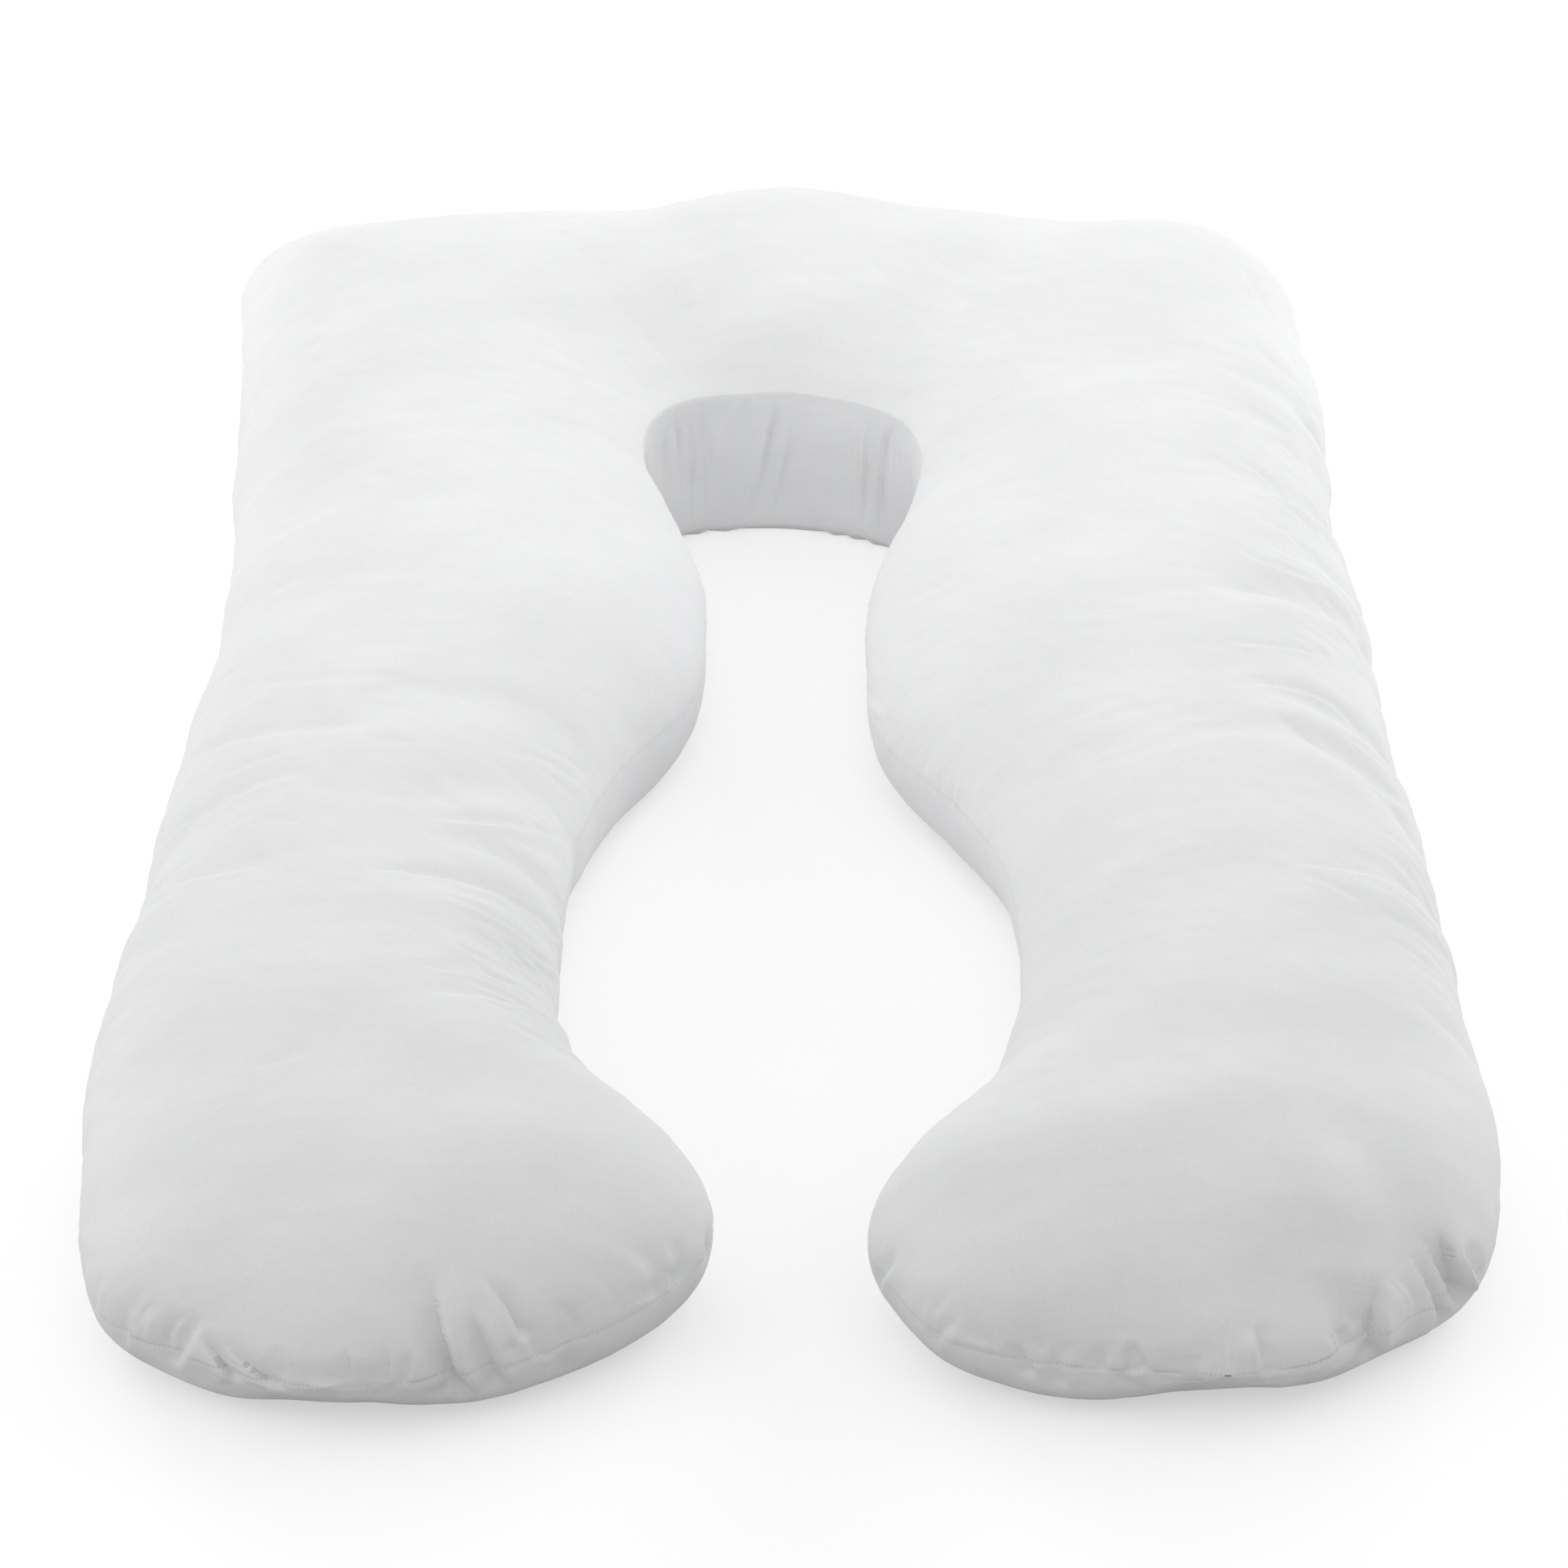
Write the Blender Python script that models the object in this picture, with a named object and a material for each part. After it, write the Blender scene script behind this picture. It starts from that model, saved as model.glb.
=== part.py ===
"""U-shaped full-body pillow: one filled solid, two cloth panels sewn together round the edge.

The frame is metres with +Z up. The pillow lies on its underside, the bar that joins the two
legs is at +Y, the feet are at -Y, and the origin is the middle of its box on the floor.
"""
import math

import bmesh
import bpy
import numpy as np

# ---------------------------------------------------------------- driving sizes
NAME = "pillow"
STATIONS = 160          # rings along the U, foot to foot
TOP_STEPS = 26          # edges of a ring over the crown, seam to seam
UNDER_STEPS = 5         # edges of a ring from a seam down to the flat underside
COVER_COLOUR = (0.86, 0.86, 0.85, 1.0)
COVER_ROUGHNESS = 0.85

# Plan of the sewn edge, metres. A row is one cut across the filling, from the outer edge to
# the inner edge. Each leg runs from the tip of its foot to the bar.
PLAN_COLUMNS = ("row", "outer_x", "outer_y", "inner_x", "inner_y")
LEFT_LEG = (
    ("tip", -0.306, -0.808, -0.306, -0.808),
    ("toe", -0.360, -0.796, -0.243, -0.799),
    ("toe", -0.405, -0.776, -0.185, -0.783),
    ("toe", -0.444, -0.752, -0.135, -0.762),
    ("foot", -0.469, -0.719, -0.088, -0.726),
    ("foot", -0.482, -0.662, -0.051, -0.672),
    ("foot", -0.489, -0.587, -0.062, -0.617),
    ("ankle", -0.491, -0.502, -0.118, -0.564),
    ("calf", -0.483, -0.405, -0.153, -0.492),
    ("calf", -0.474, -0.314, -0.162, -0.408),
    ("knee", -0.468, -0.222, -0.162, -0.308),
    ("thigh", -0.461, -0.139, -0.152, -0.200),
    ("thigh", -0.453, -0.054, -0.116, -0.102),
    ("hip", -0.443, 0.032, -0.069, -0.018),
    ("waist", -0.443, 0.130, -0.060, 0.080),
    ("waist", -0.447, 0.235, -0.072, 0.156),
    ("chest", -0.451, 0.349, -0.093, 0.216),
    ("shoulder", -0.456, 0.466, -0.110, 0.260),
    ("shoulder", -0.465, 0.583, -0.114, 0.291),
    ("corner", -0.470, 0.673, -0.109, 0.321),
    ("bar", -0.398, 0.700, -0.095, 0.345),
    ("bar", -0.285, 0.710, -0.071, 0.361),
    ("bar", -0.150, 0.708, -0.038, 0.367),
)
RIGHT_LEG = (
    ("tip", 0.296, -0.795, 0.296, -0.795),
    ("toe", 0.350, -0.785, 0.230, -0.791),
    ("toe", 0.396, -0.756, 0.168, -0.781),
    ("toe", 0.436, -0.728, 0.115, -0.764),
    ("foot", 0.477, -0.692, 0.082, -0.733),
    ("foot", 0.496, -0.640, 0.058, -0.670),
    ("foot", 0.498, -0.567, 0.083, -0.617),
    ("ankle", 0.493, -0.498, 0.136, -0.556),
    ("calf", 0.486, -0.425, 0.162, -0.474),
    ("calf", 0.486, -0.345, 0.169, -0.383),
    ("knee", 0.479, -0.258, 0.168, -0.294),
    ("thigh", 0.468, -0.159, 0.149, -0.207),
    ("thigh", 0.460, -0.055, 0.112, -0.131),
    ("hip", 0.459, 0.050, 0.071, -0.058),
    ("waist", 0.452, 0.148, 0.063, 0.026),
    ("waist", 0.443, 0.242, 0.069, 0.114),
    ("chest", 0.444, 0.330, 0.095, 0.197),
    ("shoulder", 0.451, 0.415, 0.110, 0.252),
    ("shoulder", 0.446, 0.512, 0.110, 0.286),
    ("right corner", 0.436, 0.618, 0.100, 0.317),
    ("right bar", 0.390, 0.686, 0.082, 0.338),
    ("right bar", 0.287, 0.698, 0.060, 0.352),
    ("right bar", 0.148, 0.696, 0.031, 0.363),
)
CENTRE = ("centre", 0.0, 0.708, 0.0, 0.370)

# Form of the filling at each named row. crown and base are the heights of its top and its
# underside, outer_seam and inner_seam the heights of the sewn edge. full is 2 where the
# crown leaves the seam upright and nearer 1 where it leaves as a slope. flat is the share of
# the half width that lies flat on the floor, 1 being an upright wall.
FORM_COLUMNS = ("row", "crown", "base", "outer_seam", "inner_seam", "outer_full",
                "inner_full", "outer_flat", "inner_flat")
FORM = (
    ("tip", 0.048, 0.048, 0.048, 0.048, 2.0, 2.0, 0.30, 0.30),
    ("toe", 0.104, 0.013, 0.048, 0.048, 2.0, 2.0, 0.50, 0.50),
    ("foot", 0.170, 0.000, 0.052, 0.060, 2.1, 2.0, 0.72, 0.74),
    ("ankle", 0.184, 0.000, 0.060, 0.092, 2.1, 1.7, 0.72, 0.80),
    ("calf", 0.184, 0.000, 0.064, 0.100, 2.1, 1.6, 0.70, 0.82),
    ("knee", 0.183, 0.000, 0.066, 0.092, 2.1, 1.7, 0.70, 0.78),
    ("thigh", 0.186, 0.000, 0.066, 0.080, 2.1, 1.9, 0.70, 0.74),
    ("hip", 0.190, 0.000, 0.066, 0.080, 2.1, 1.9, 0.70, 0.74),
    ("waist", 0.190, 0.000, 0.066, 0.090, 2.0, 1.8, 0.70, 0.76),
    ("chest", 0.188, 0.000, 0.066, 0.108, 1.9, 1.5, 0.72, 0.88),
    ("shoulder", 0.187, 0.000, 0.064, 0.126, 1.8, 1.35, 0.74, 0.95),
    ("corner", 0.184, 0.000, 0.058, 0.132, 1.5, 1.25, 0.78, 0.985),
    ("bar", 0.178, 0.000, 0.060, 0.132, 1.8, 1.2, 0.74, 0.985),
    ("right corner", 0.190, 0.000, 0.062, 0.132, 1.8, 1.25, 0.78, 0.985),
    ("right bar", 0.179, 0.000, 0.060, 0.132, 1.8, 1.2, 0.74, 0.985),
    ("centre", 0.202, 0.000, 0.064, 0.132, 1.9, 1.2, 0.74, 0.985),
)


# Folds pressed into the top and the sides, metres in plan. A fold is a trough along a bowed
# line that runs towards +X, with a low ridge on its -Y side. bow is how far its middle
# stands off the straight line, towards +Y.
FOLD_COLUMNS = ("fold", "x0", "y0", "x1", "y1", "bow", "width", "depth")
FOLDS = (
    ("shoulder ear", 0.404, 0.362, 0.500, 0.336, -0.004, 0.020, 0.012),
    ("chest flank", 0.357, 0.151, 0.485, 0.205, 0.018, 0.017, 0.008),
    ("waist flank upper", 0.345, 0.046, 0.470, 0.085, 0.012, 0.017, 0.005),
    ("waist flank", 0.311, -0.023, 0.485, 0.030, 0.012, 0.018, 0.009),
    ("thigh flank upper", 0.332, -0.160, 0.495, -0.171, 0.016, 0.018, 0.007),
    ("thigh flank", 0.355, -0.181, 0.495, -0.295, 0.012, 0.020, 0.009),
    ("knee flank", 0.354, -0.387, 0.500, -0.348, 0.010, 0.020, 0.005),
    ("left thigh, soft", -0.290, -0.169, -0.140, -0.148, 0.006, 0.022, 0.004),
    ("left outer thigh", -0.500, -0.185, -0.296, -0.211, 0.007, 0.022, 0.006),
    ("left outer knee", -0.500, -0.311, -0.340, -0.264, 0.008, 0.022, 0.007),
    ("left outer calf", -0.510, -0.353, -0.355, -0.387, 0.007, 0.020, 0.007),
    ("left inner thigh", -0.270, -0.305, -0.135, -0.216, 0.012, 0.017, 0.008),
    ("left inner knee", -0.240, -0.322, -0.140, -0.344, 0.006, 0.015, 0.006),
    ("left inner calf", -0.300, -0.392, -0.135, -0.388, 0.004, 0.018, 0.009),
    ("left inner ankle", -0.245, -0.440, -0.135, -0.476, 0.006, 0.016, 0.007),
    ("right ankle, soft", 0.345, -0.630, 0.445, -0.748, 0.009, 0.028, 0.006),
    ("right toe corner", 0.372, -0.735, 0.432, -0.806, 0.002, 0.022, 0.007),
    ("right toe corner", 0.418, -0.708, 0.480, -0.762, 0.002, 0.019, 0.007),
    ("left toe", -0.248, -0.735, -0.205, -0.835, 0.0, 0.024, 0.007),
    ("left toe", -0.185, -0.710, -0.135, -0.805, 0.0, 0.024, 0.006),
    ("left toe corner", -0.418, -0.808, -0.446, -0.722, 0.0, 0.017, 0.006),
    ("left toe corner", -0.340, -0.838, -0.390, -0.750, 0.0, 0.022, 0.006),
)

# Upright puckers in the neck wall: x where each stands at mid height, and how far it leans
# towards +X for each metre it rises.
PUCKER_COLUMNS = ("x", "lean", "width", "depth")
PUCKERS = (
    (-0.099, -0.14, 0.008, 0.005),
    (-0.082, -0.20, 0.008, 0.004),
    (-0.064, -0.16, 0.007, 0.003),
    (-0.012, 0.17, 0.009, 0.004),
    (0.006, 0.17, 0.008, 0.003),
    (0.064, 0.04, 0.008, 0.004),
    (0.079, 0.00, 0.008, 0.004),
    (0.094, -0.05, 0.008, 0.005),
)

def spline(values, places):
    """Cubic through evenly numbered rows, its slope at a row half the step between neighbours."""
    values = np.asarray(values, float)
    slope = np.gradient(values, axis=0)
    low = np.clip(np.floor(places).astype(int), 0, len(values) - 2)
    t = (places - low)[:, None]
    a, b = values[low], values[low + 1]
    sa, sb = slope[low], slope[low + 1]
    return (a * (2 * t**3 - 3 * t**2 + 1) + sa * (t**3 - 2 * t**2 + t)
            + b * (3 * t**2 - 2 * t**3) + sb * (t**3 - t**2))


def form_at_rows(rows):
    """Each form column at every plan row: the first row of a name holds it, others lie between."""
    names = [row[0] for row in rows]
    marks = []
    values = []
    for line in FORM:
        held = [i for i, name in enumerate(names) if name == line[0]]
        if not held:
            continue
        middle = 0.5 * (held[0] + held[-1])
        marks.append(middle)
        values.append(line[1:])
    places = np.arange(len(names))
    return np.stack([np.interp(places, marks, column) for column in zip(*values)], 1)


def stations():
    """Plan and form of every ring, foot to foot, closer together where the plan turns."""
    left = LEFT_LEG + (CENTRE,)
    right = RIGHT_LEG + (CENTRE,)
    plan = [row[1:] for row in left] + [row[1:] for row in reversed(RIGHT_LEG)]
    form = np.concatenate([form_at_rows(left), form_at_rows(right)[-2::-1]])
    both = np.concatenate([np.array(plan, float), form], 1)
    fine = np.linspace(0, len(both) - 1, 4001)
    path = spline(both, fine)
    outer_run = np.hypot(*np.gradient(path[:, 0:2], axis=0).T)
    inner_run = np.hypot(*np.gradient(path[:, 2:4], axis=0).T)
    density = np.maximum(outer_run, inner_run) + 0.35 * (outer_run + inner_run)
    run = np.concatenate([[0], np.cumsum(0.5 * (density[1:] + density[:-1]))])
    step = np.linspace(0, 1, STATIONS)
    ends = step - 0.018 * np.sin(2 * math.pi * step)
    places = np.interp(ends * run[-1], run, fine)
    rows = spline(both, places)
    rows[:, 5] = np.maximum(rows[:, 5], 0.0)
    return rows


def ring(row):
    """Points of one ring: over the crown from the outer seam, then back under the filling."""
    outer, inner = row[0:2], row[2:4]
    crown, base, outer_seam, inner_seam, outer_full, inner_full, outer_flat, inner_flat = row[4:]
    middle = 0.5 * (outer + inner)
    half = 0.5 * (outer - inner)

    angle = np.linspace(0, math.pi, TOP_STEPS + 1)
    across = np.cos(angle)
    side = across >= 0
    seam = np.where(side, outer_seam, inner_seam)
    full = np.where(side, outer_full, inner_full)
    rise = np.clip(1 - np.abs(across) ** 2.15, 0, 1) ** (1 / full)
    over = seam + (crown - seam) * rise

    turn = np.linspace(0, math.pi / 2, UNDER_STEPS + 1)[1:]
    under_in = -(inner_flat + (1 - inner_flat) * np.cos(turn))
    under_in_z = base + (inner_seam - base) * (1 - np.sin(turn))
    under_out = (outer_flat + (1 - outer_flat) * np.cos(turn))[::-1]
    under_out_z = (base + (outer_seam - base) * (1 - np.sin(turn)))[::-1]

    place = np.concatenate([across, under_in, under_out])
    height = np.concatenate([over, under_in_z, under_out_z])
    flat = middle[None, :] + place[:, None] * half[None, :]
    return np.column_stack([flat, height])


def outward(rings):
    """Unit normals of the grid of rings, from its two central differences."""
    around = np.roll(rings, -1, axis=1) - np.roll(rings, 1, axis=1)
    along = np.gradient(rings, axis=0)
    normal = np.cross(around, along)
    length = np.linalg.norm(normal, axis=2, keepdims=True)
    return normal / np.maximum(length, 1e-9)


def ease(value):
    """0 to 1 with a level start and end."""
    value = np.clip(value, 0, 1)
    return value * value * (3 - 2 * value)


def press_folds(rings):
    """Move the points in along their normals under every fold and pucker of the tables."""
    normal = outward(rings)
    x, y, z = rings[:, :, 0], rings[:, :, 1], rings[:, :, 2]
    depth = np.zeros(x.shape)
    above_floor = ease((z - 0.012) / 0.05)
    for name, x0, y0, x1, y1, bow, width, deep in FOLDS:
        length = math.hypot(x1 - x0, y1 - y0)
        ux, uy = (x1 - x0) / length, (y1 - y0) / length
        along = ((x - x0) * ux + (y - y0) * uy) / length
        off = (y - y0) * ux - (x - x0) * uy
        off = off - 4 * bow * along * (1 - along)
        ends = ease(along / 0.35) * ease((1 - along) / 0.12)
        trough = np.exp(-(off / width) ** 2)
        ridge = 0.55 * np.exp(-((off + 1.7 * width) / width) ** 2)
        depth += deep * ends * (trough - ridge) * above_floor
    wall = np.zeros(x.shape)
    wall[:, TOP_STEPS + 1:TOP_STEPS + UNDER_STEPS] = 1.0
    wall *= ease((y - 0.27) / 0.03) * (np.abs(x) < 0.14)
    for pucker_x, lean, width, deep in PUCKERS:
        off = x - pucker_x - lean * (z - 0.066)
        depth += deep * wall * np.exp(-(off / width) ** 2)
    return rings - depth[:, :, None] * normal

def loft(rings):
    """Closed skin through the rings, with a point at each foot's tip."""
    mesh = bmesh.new()
    first = mesh.verts.new(rings[0].mean(axis=0))
    loops = [[mesh.verts.new(point) for point in one] for one in rings[1:-1]]
    last = mesh.verts.new(rings[-1].mean(axis=0))
    around = len(loops[0])
    for a, b in zip(loops, loops[1:]):
        for j in range(around):
            k = (j + 1) % around
            mesh.faces.new((a[j], b[j], b[k], a[k]))
    for j in range(around):
        k = (j + 1) % around
        mesh.faces.new((first, loops[0][j], loops[0][k]))
        mesh.faces.new((last, loops[-1][k], loops[-1][j]))
    bmesh.ops.recalc_face_normals(mesh, faces=mesh.faces)
    return mesh


def cover_material():
    """Plain white woven cotton."""
    material = bpy.data.materials.new("cover")
    material.use_nodes = True
    shader = material.node_tree.nodes["Principled BSDF"]
    shader.inputs["Base Color"].default_value = COVER_COLOUR
    shader.inputs["Roughness"].default_value = COVER_ROUGHNESS
    shader.inputs["Metallic"].default_value = 0.0
    return material


def main():
    for thing in list(bpy.data.objects):
        bpy.data.objects.remove(thing, do_unlink=True)
    parts = bpy.data.collections.new("body_pillow")
    bpy.context.scene.collection.children.link(parts)

    rings = press_folds(np.array([ring(row) for row in stations()]))
    box = rings[1:-1].reshape(-1, 3)
    middle = 0.5 * (box.min(axis=0) + box.max(axis=0))
    rings[:, :, 0:2] -= middle[None, None, 0:2]
    rings[:, :, 2] -= box[:, 2].min()

    mesh = loft(rings)
    data = bpy.data.meshes.new(NAME)
    mesh.to_mesh(data)
    mesh.free()
    data.shade_smooth()
    pillow = bpy.data.objects.new(NAME, data)
    pillow.data.materials.append(cover_material())
    parts.objects.link(pillow)


main()
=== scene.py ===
"""Dressed body pillow: the sewn, filled cover of the U-shaped full-body pillow.

The frame is metres with +Z up, the origin in the middle of the pillow's box on the floor, the
bar at +Y and the feet at -Y. Places on the cover are given as (row, across): row is the number
of a cut in the plan tables, 0 at the tip of the left foot, 23 at the middle of the bar and 46
at the tip of the right foot; across is 0 at the outer seam, 1 at the inner seam, between 0 and
1 over the crown, above 1 below the inner seam and below 0 under the outer seam.
"""
import math

import bpy
import numpy as np
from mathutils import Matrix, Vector


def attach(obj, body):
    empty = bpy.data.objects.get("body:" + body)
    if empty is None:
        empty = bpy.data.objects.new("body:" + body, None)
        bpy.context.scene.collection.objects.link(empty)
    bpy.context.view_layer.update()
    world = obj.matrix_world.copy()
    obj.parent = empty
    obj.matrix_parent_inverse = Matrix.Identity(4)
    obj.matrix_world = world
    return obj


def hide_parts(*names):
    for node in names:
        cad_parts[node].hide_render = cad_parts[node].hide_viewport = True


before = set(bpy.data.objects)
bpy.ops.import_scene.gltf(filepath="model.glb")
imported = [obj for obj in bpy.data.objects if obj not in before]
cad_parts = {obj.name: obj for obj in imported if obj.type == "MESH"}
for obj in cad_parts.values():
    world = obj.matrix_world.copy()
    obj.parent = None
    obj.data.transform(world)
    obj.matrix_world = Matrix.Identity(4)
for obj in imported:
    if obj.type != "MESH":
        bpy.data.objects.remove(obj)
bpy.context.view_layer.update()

# ---------------------------------------------------------------- driving sizes
ALONG = 1250            # cuts across the filling, foot to foot
OVER = 168              # edges of a cut over the crown, seam to seam
UNDER = 74              # edges of a cut beneath, seam to seam
CENTRE_OF_PLAN = (0.00360246, -0.04819429)   # middle of the plan tables' box
CROWN_POWER = 2.15      # of the crown's curve across a cut; 2 is a circle's

# Plan of each leg, metres: the row's name, its outer point (x, y) and its inner point (x, y).
LEFT_LEG = (
    ("tip", -0.306, -0.808, -0.306, -0.808),
    ("toe", -0.360, -0.796, -0.243, -0.799),
    ("toe", -0.405, -0.776, -0.185, -0.783),
    ("toe", -0.444, -0.752, -0.135, -0.762),
    ("foot", -0.469, -0.719, -0.088, -0.726),
    ("foot", -0.482, -0.662, -0.051, -0.672),
    ("foot", -0.489, -0.587, -0.062, -0.617),
    ("ankle", -0.491, -0.502, -0.118, -0.564),
    ("calf", -0.483, -0.405, -0.153, -0.492),
    ("calf", -0.474, -0.314, -0.162, -0.408),
    ("knee", -0.468, -0.222, -0.162, -0.308),
    ("thigh", -0.461, -0.139, -0.152, -0.200),
    ("thigh", -0.453, -0.054, -0.116, -0.102),
    ("hip", -0.443, 0.032, -0.069, -0.018),
    ("waist", -0.443, 0.130, -0.060, 0.080),
    ("waist", -0.447, 0.235, -0.072, 0.156),
    ("chest", -0.451, 0.349, -0.093, 0.216),
    ("shoulder", -0.456, 0.466, -0.110, 0.260),
    ("shoulder", -0.465, 0.583, -0.114, 0.291),
    ("corner", -0.470, 0.673, -0.109, 0.321),
    ("bar", -0.398, 0.700, -0.095, 0.345),
    ("bar", -0.285, 0.710, -0.071, 0.361),
    ("bar", -0.150, 0.708, -0.038, 0.367),
)
RIGHT_LEG = (
    ("tip", 0.296, -0.795, 0.296, -0.795),
    ("toe", 0.350, -0.785, 0.230, -0.791),
    ("toe", 0.396, -0.756, 0.168, -0.781),
    ("toe", 0.436, -0.728, 0.115, -0.764),
    ("foot", 0.477, -0.692, 0.082, -0.733),
    ("foot", 0.496, -0.640, 0.058, -0.670),
    ("foot", 0.498, -0.567, 0.083, -0.617),
    ("ankle", 0.493, -0.498, 0.136, -0.556),
    ("calf", 0.486, -0.425, 0.162, -0.474),
    ("calf", 0.486, -0.345, 0.169, -0.383),
    ("knee", 0.479, -0.258, 0.168, -0.294),
    ("thigh", 0.468, -0.159, 0.149, -0.207),
    ("thigh", 0.460, -0.055, 0.112, -0.131),
    ("hip", 0.459, 0.050, 0.071, -0.058),
    ("waist", 0.452, 0.148, 0.063, 0.026),
    ("waist", 0.443, 0.242, 0.069, 0.114),
    ("chest", 0.444, 0.330, 0.095, 0.197),
    ("shoulder", 0.451, 0.415, 0.110, 0.252),
    ("shoulder", 0.446, 0.512, 0.110, 0.286),
    ("right corner", 0.436, 0.618, 0.100, 0.317),
    ("right bar", 0.390, 0.686, 0.082, 0.338),
    ("right bar", 0.287, 0.698, 0.060, 0.352),
    ("right bar", 0.148, 0.696, 0.031, 0.363),
)
CENTRE = ("centre", 0.0, 0.708, 0.0, 0.370)

# Form of a cut at each named row: heights of the crown, the underside, the outer seam and the
# inner seam; outer full and inner full, 2 where the crown leaves the seam upright and nearer 1
# where it slopes; outer flat and inner flat, the share of the half width that rests.
FORM = (
    ("tip", 0.048, 0.048, 0.048, 0.048, 2.0, 2.0, 0.30, 0.30),
    ("toe", 0.104, 0.013, 0.048, 0.048, 2.0, 2.0, 0.60, 0.60),
    ("foot", 0.170, 0.000, 0.052, 0.060, 2.1, 2.0, 0.72, 0.74),
    ("ankle", 0.184, 0.000, 0.060, 0.092, 2.1, 1.7, 0.72, 0.80),
    ("calf", 0.184, 0.000, 0.064, 0.100, 2.1, 1.6, 0.70, 0.82),
    ("knee", 0.183, 0.000, 0.066, 0.092, 2.1, 1.7, 0.70, 0.78),
    ("thigh", 0.186, 0.000, 0.066, 0.080, 2.1, 1.9, 0.70, 0.74),
    ("hip", 0.190, 0.000, 0.066, 0.080, 2.1, 1.9, 0.70, 0.74),
    ("waist", 0.190, 0.000, 0.066, 0.090, 2.0, 1.8, 0.70, 0.76),
    ("chest", 0.188, 0.000, 0.066, 0.108, 1.9, 1.5, 0.72, 0.88),
    ("shoulder", 0.187, 0.000, 0.064, 0.126, 1.8, 1.35, 0.74, 0.95),
    ("corner", 0.184, 0.000, 0.058, 0.132, 1.5, 1.25, 0.78, 0.985),
    ("bar", 0.178, 0.000, 0.060, 0.132, 1.8, 1.2, 0.74, 0.985),
    ("right corner", 0.190, 0.000, 0.062, 0.132, 1.8, 1.25, 0.78, 0.985),
    ("right bar", 0.179, 0.000, 0.060, 0.132, 1.8, 1.2, 0.74, 0.985),
    ("centre", 0.202, 0.000, 0.064, 0.132, 1.9, 1.2, 0.74, 0.985),
)

# Broad folds pressed into the filling, metres in plan: x0, y0 and x1, y1 of a line, how far its
# middle bows, the width of its trough and its depth. The cover keeps a share of their depth,
# and its creases lie on them.
FOLDS = (
    ("shoulder ear", 0.404, 0.362, 0.500, 0.336, -0.004, 0.020, 0.012),
    ("chest flank", 0.357, 0.151, 0.485, 0.205, 0.018, 0.017, 0.008),
    ("waist flank upper", 0.345, 0.046, 0.470, 0.085, 0.012, 0.017, 0.005),
    ("waist flank", 0.311, -0.023, 0.485, 0.030, 0.012, 0.018, 0.009),
    ("thigh flank upper", 0.332, -0.160, 0.495, -0.171, 0.016, 0.018, 0.007),
    ("thigh flank", 0.355, -0.181, 0.495, -0.295, 0.012, 0.020, 0.009),
    ("knee flank", 0.354, -0.387, 0.500, -0.348, 0.010, 0.020, 0.005),
    ("left thigh, soft", -0.290, -0.169, -0.140, -0.148, 0.006, 0.022, 0.004),
    ("left outer thigh", -0.500, -0.185, -0.296, -0.211, 0.007, 0.022, 0.002),
    ("left outer knee", -0.500, -0.311, -0.340, -0.264, 0.008, 0.022, 0.002),
    ("left outer calf", -0.510, -0.353, -0.355, -0.387, 0.007, 0.020, 0.002),
    ("left inner thigh", -0.270, -0.305, -0.135, -0.216, 0.012, 0.017, 0.004),
    ("left inner knee", -0.240, -0.322, -0.140, -0.344, 0.006, 0.015, 0.004),
    ("left inner calf", -0.300, -0.392, -0.135, -0.388, 0.004, 0.018, 0.005),
    ("left inner ankle", -0.245, -0.440, -0.135, -0.476, 0.006, 0.016, 0.005),
    ("right ankle, soft", 0.345, -0.630, 0.445, -0.748, 0.009, 0.028, 0.006),
)
FOLD_SHARE = 0.55       # of those depths in the cover

# Where the cuts of the cover lie closer together, for its creases: the middle row of each
# stretch, how far it reaches, and how many more cuts it gets for each plain one.
CLOSE = (
    ("left toe", 1.7, 1.5, 1.8),
    ("left ankle and knee", 9.0, 2.2, 2.0),
    ("right flank", 33.8, 3.8, 1.5),
    ("right toe", 44.0, 2.0, 1.8),
)


# ---------------------------------------------------------------- shape of the filling
FINE_STEPS = 4001       # steps on which the lengths along the plan are summed
SUM_SHARE = 0.35        # of both seams' lengths in a cut's step, beside the longer one's
FEET_SHIFT = 0.018      # how far the cuts are drawn towards the two feet


def spline(values, places):
    """Cubic through evenly numbered rows, its slope at a row half the step between neighbours."""
    values = np.asarray(values, float)
    places = np.clip(np.asarray(places, float), 0, len(values) - 1)
    slope = np.gradient(values, axis=0)
    low = np.clip(np.floor(places).astype(int), 0, len(values) - 2)
    t = (places - low).reshape((-1,) + (1,) * (values.ndim - 1))
    a, b = values[low], values[low + 1]
    sa, sb = slope[low], slope[low + 1]
    return (a * (2 * t**3 - 3 * t**2 + 1) + sa * (t**3 - 2 * t**2 + t)
            + b * (3 * t**2 - 2 * t**3) + sb * (t**3 - t**2))


def ease(value):
    """0 to 1 with a level start and end: v * v * (3 - 2v)."""
    value = np.clip(value, 0, 1)
    return value * value * (3 - 2 * value)


def form_at_rows(rows):
    """Each form column at every plan row: a name's middle row holds it, others lie between."""
    names = [row[0] for row in rows]
    marks = []
    values = []
    for line in FORM:
        held = [i for i, name in enumerate(names) if name == line[0]]
        if not held:
            continue
        marks.append(0.5 * (held[0] + held[-1]))
        values.append(line[1:])
    places = np.arange(len(names))
    return np.stack([np.interp(places, marks, column) for column in zip(*values)], 1)


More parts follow.
